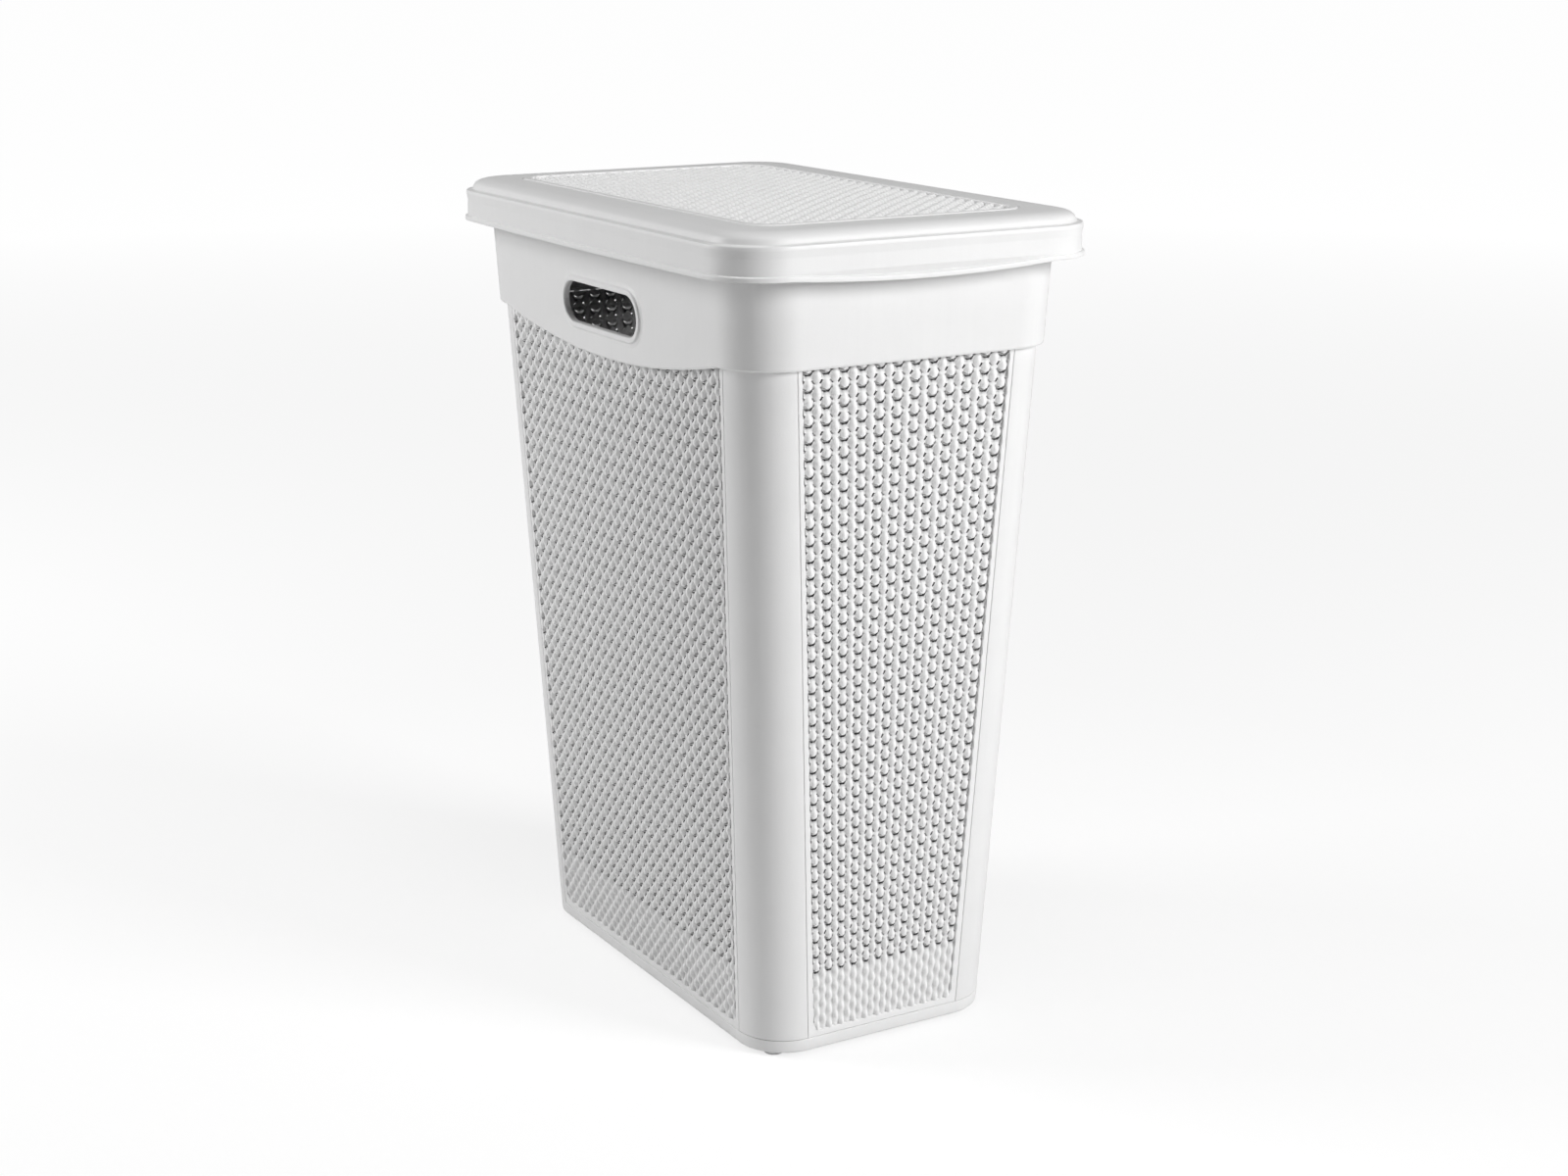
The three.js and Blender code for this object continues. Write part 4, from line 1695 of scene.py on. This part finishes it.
@dataclass(frozen=True)
class SoftBox:
    """A large soft light.

    Attributes:
        name: the light's name.
        azimuth: its direction from the hamper, in degrees; 0 is in front, 90 to the right.
        elevation: its height as an angle, in degrees.
        distance: from the hamper's middle.
        size: width and height of its face.
        power: in watts.
    """

    name: str
    azimuth: float
    elevation: float
    distance: float
    size: Point2
    power: float

    def build(self, target: Vector) -> None:
        """Hangs the light, facing the target."""
        data = bpy.data.lights.new(self.name, "AREA")
        data.shape = "RECTANGLE"
        data.size, data.size_y = self.size
        data.energy = self.power
        lamp = bpy.data.objects.new(self.name, data)
        a, e = math.radians(self.azimuth), math.radians(self.elevation)
        back = Vector((math.sin(a) * math.cos(e), -math.cos(a) * math.cos(e), math.sin(e)))
        lamp.location = target + back * self.distance
        lamp.rotation_euler = back.to_track_quat("Z", "Y").to_euler()
        bpy.context.scene.collection.objects.link(lamp)


@dataclass
class Studio:
    """The pale floor, the soft lights and the camera."""

    camera_place: Point3 = (-0.93673, -1.62841, 0.79702)
    camera_azimuth: float = -30.49
    camera_elevation: float = 14.84
    lens: float = 58.39
    floor_radius: float = 40.0
    floor_shade: float = 0.80
    sky: float = 0.06
    sky_seen: float = 1.0
    glow_start: float = 0.8
    glow_near: float = 0.74
    glow_far: float = 0.97
    glow_reach: float = 5.0
    glow_share: float = 0.28
    lights: tuple[SoftBox, ...] = (
        SoftBox("key_right", 31.0, 24.0, 3.0, (1.0, 1.2), 70.0),
        SoftBox("side_left", -128.0, 26.0, 2.6, (1.0, 1.8), 43.0),
        SoftBox("overhead", -20.0, 76.0, 2.8, (1.0, 1.0), 16.0),
    )

    def build(self, sizes: HamperSizes) -> None:
        """Sets up the floor, lights and camera."""
        self._floor()
        self._world()
        target = Vector((0.0, 0.0, sizes.rim_z / 2))
        for light in self.lights:
            light.build(target)
        self._camera()
        bpy.context.scene.view_settings.view_transform = "Standard"

    def _floor(self) -> None:
        """A wide pale disc of concentric rings."""
        rings = (0.0, 0.5, 1.0, 2.0, 4.0, 8.0, 16.0, self.floor_radius)
        count = 64
        points: list[Point3] = [(0.0, 0.0, 0.0)]
        for radius in rings[1:]:
            for k in range(count):
                angle = 2 * math.pi * k / count
                points.append((radius * math.cos(angle), radius * math.sin(angle), 0.0))
        faces: list[tuple[int, ...]] = [(0, 1 + k, 1 + (k + 1) % count) for k in range(count)]
        for i in range(len(rings) - 2):
            low, high = 1 + i * count, 1 + (i + 1) * count
            for k in range(count):
                j = (k + 1) % count
                faces.append((low + k, high + k, high + j, low + j))
        mesh = bpy.data.meshes.new("floor")
        mesh.from_pydata(points, [], faces)
        floor = linked("floor", mesh)
        mesh.materials.append(self._floor_finish())

    def _floor_finish(self) -> Material:
        """A matt pale paper with the faintest mottle."""
        material = bpy.data.materials.new("studio_paper")
        n = emptied(material)
        place = n.add("ShaderNodeTexCoord").outputs["Object"]
        mottle = n.noise(place, 3.0, 2.0)
        tone = n.math("MULTIPLY_ADD", mottle, 0.01, self.floor_shade)
        colour = n.add("ShaderNodeCombineColor", {0: tone, 1: tone, 2: tone})
        paper = n.add(
            "ShaderNodeBsdfPrincipled",
            {"Base Color": colour.outputs[0], "Roughness": 0.9, "Specular IOR Level": 0.1},
        )
        away = n.vector("LENGTH", place)
        span = {"Value": away, "From Min": self.glow_start, "From Max": self.glow_reach}
        far = n.add("ShaderNodeMapRange", span)
        strength = n.math(
            "MULTIPLY_ADD", far.outputs[0], self.glow_far - self.glow_near, self.glow_near
        )
        glow = n.add("ShaderNodeEmission", {"Strength": strength})
        dim = n.add("ShaderNodeBsdfDiffuse", {"Color": (self.glow_share,) * 3 + (1.0,)})
        lit = n.add("ShaderNodeAddShader", {0: dim.outputs[0], 1: glow.outputs[0]})
        seen = n.add("ShaderNodeLightPath").outputs["Is Camera Ray"]
        mix = n.add("ShaderNodeMixShader", {0: seen, 1: paper.outputs[0], 2: lit.outputs[0]})
        n.add("ShaderNodeOutputMaterial", {"Surface": mix.outputs[0]})
        return material

    def _world(self) -> None:
        """An even sky that lights softly and looks pale behind the floor's edge."""
        world = bpy.data.worlds.new("studio")
        n = emptied(world)
        seen = n.add("ShaderNodeLightPath").outputs["Is Camera Ray"]
        strength = n.math("MULTIPLY_ADD", seen, self.sky_seen - self.sky, self.sky)
        light = n.add("ShaderNodeBackground", {"Color": (1, 1, 1, 1), "Strength": strength})
        n.add("ShaderNodeOutputWorld", {"Surface": light.outputs[0]})
        bpy.context.scene.world = world

    def _camera(self) -> None:
        """The camera, level and looking slightly down."""
        data = bpy.data.cameras.new("camera")
        data.lens = self.lens
        data.sensor_width = 36.0
        data.clip_start, data.clip_end = 0.05, 200.0
        camera = bpy.data.objects.new("camera", data)
        camera.location = self.camera_place
        camera.rotation_euler = (
            QUARTER - math.radians(self.camera_elevation),
            0.0,
            math.radians(self.camera_azimuth),
        )
        bpy.context.scene.collection.objects.link(camera)
        bpy.context.scene.camera = camera


# ---- Main ----


def main() -> None:
    """Builds the hamper round its frame and reports each piece."""
    logging.basicConfig(level=logging.INFO, format="%(name)s: %(message)s")
    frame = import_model()
    effects = SharedEffects()
    finishes = [
        PlasticFinish("smooth_plastic"),
        # The knit's paler shade is a painted lift over the smooth plastic's, making up for light
        # its hollows lose. Both are one white plastic, and the knit's recesses also get painted
        # shade.
        PlasticFinish("knit_plastic", shade=0.9, roughness=0.46, streak=0.0, painted_recess_shade=0.22),
        PlasticFinish("small_parts", shade=0.78, roughness=0.5, streak=0.0),
    ]
    sizes = HamperSizes.from_frame()
    shop = Workshop(
        sizes=sizes,
        nodes=frame["nodes"],
        finishes={f.name: f.build(effects) for f in finishes},
    )
    Base().build(shop)
    CornerPosts().build(shop)
    stitch = Stitch()
    stitches = {name: stitch.build(f"{name}_stitch", name == "open") for name in ("open", "blind")}
    KnitWalls().build(shop, KnitTree(Lay.UPRIGHT), stitches)
    Collar().build(shop)
    lid_frame = LidFrame()
    lid_frame.build(shop)
    LidPanel().build(shop, KnitTree(Lay.FLAT), stitches["blind"], lid_frame)
    for pattern in stitches.values():
        bpy.data.objects.remove(pattern)
    HingeParts().build(shop)
    Studio().build(sizes)


if __name__ == "__main__":
    main()
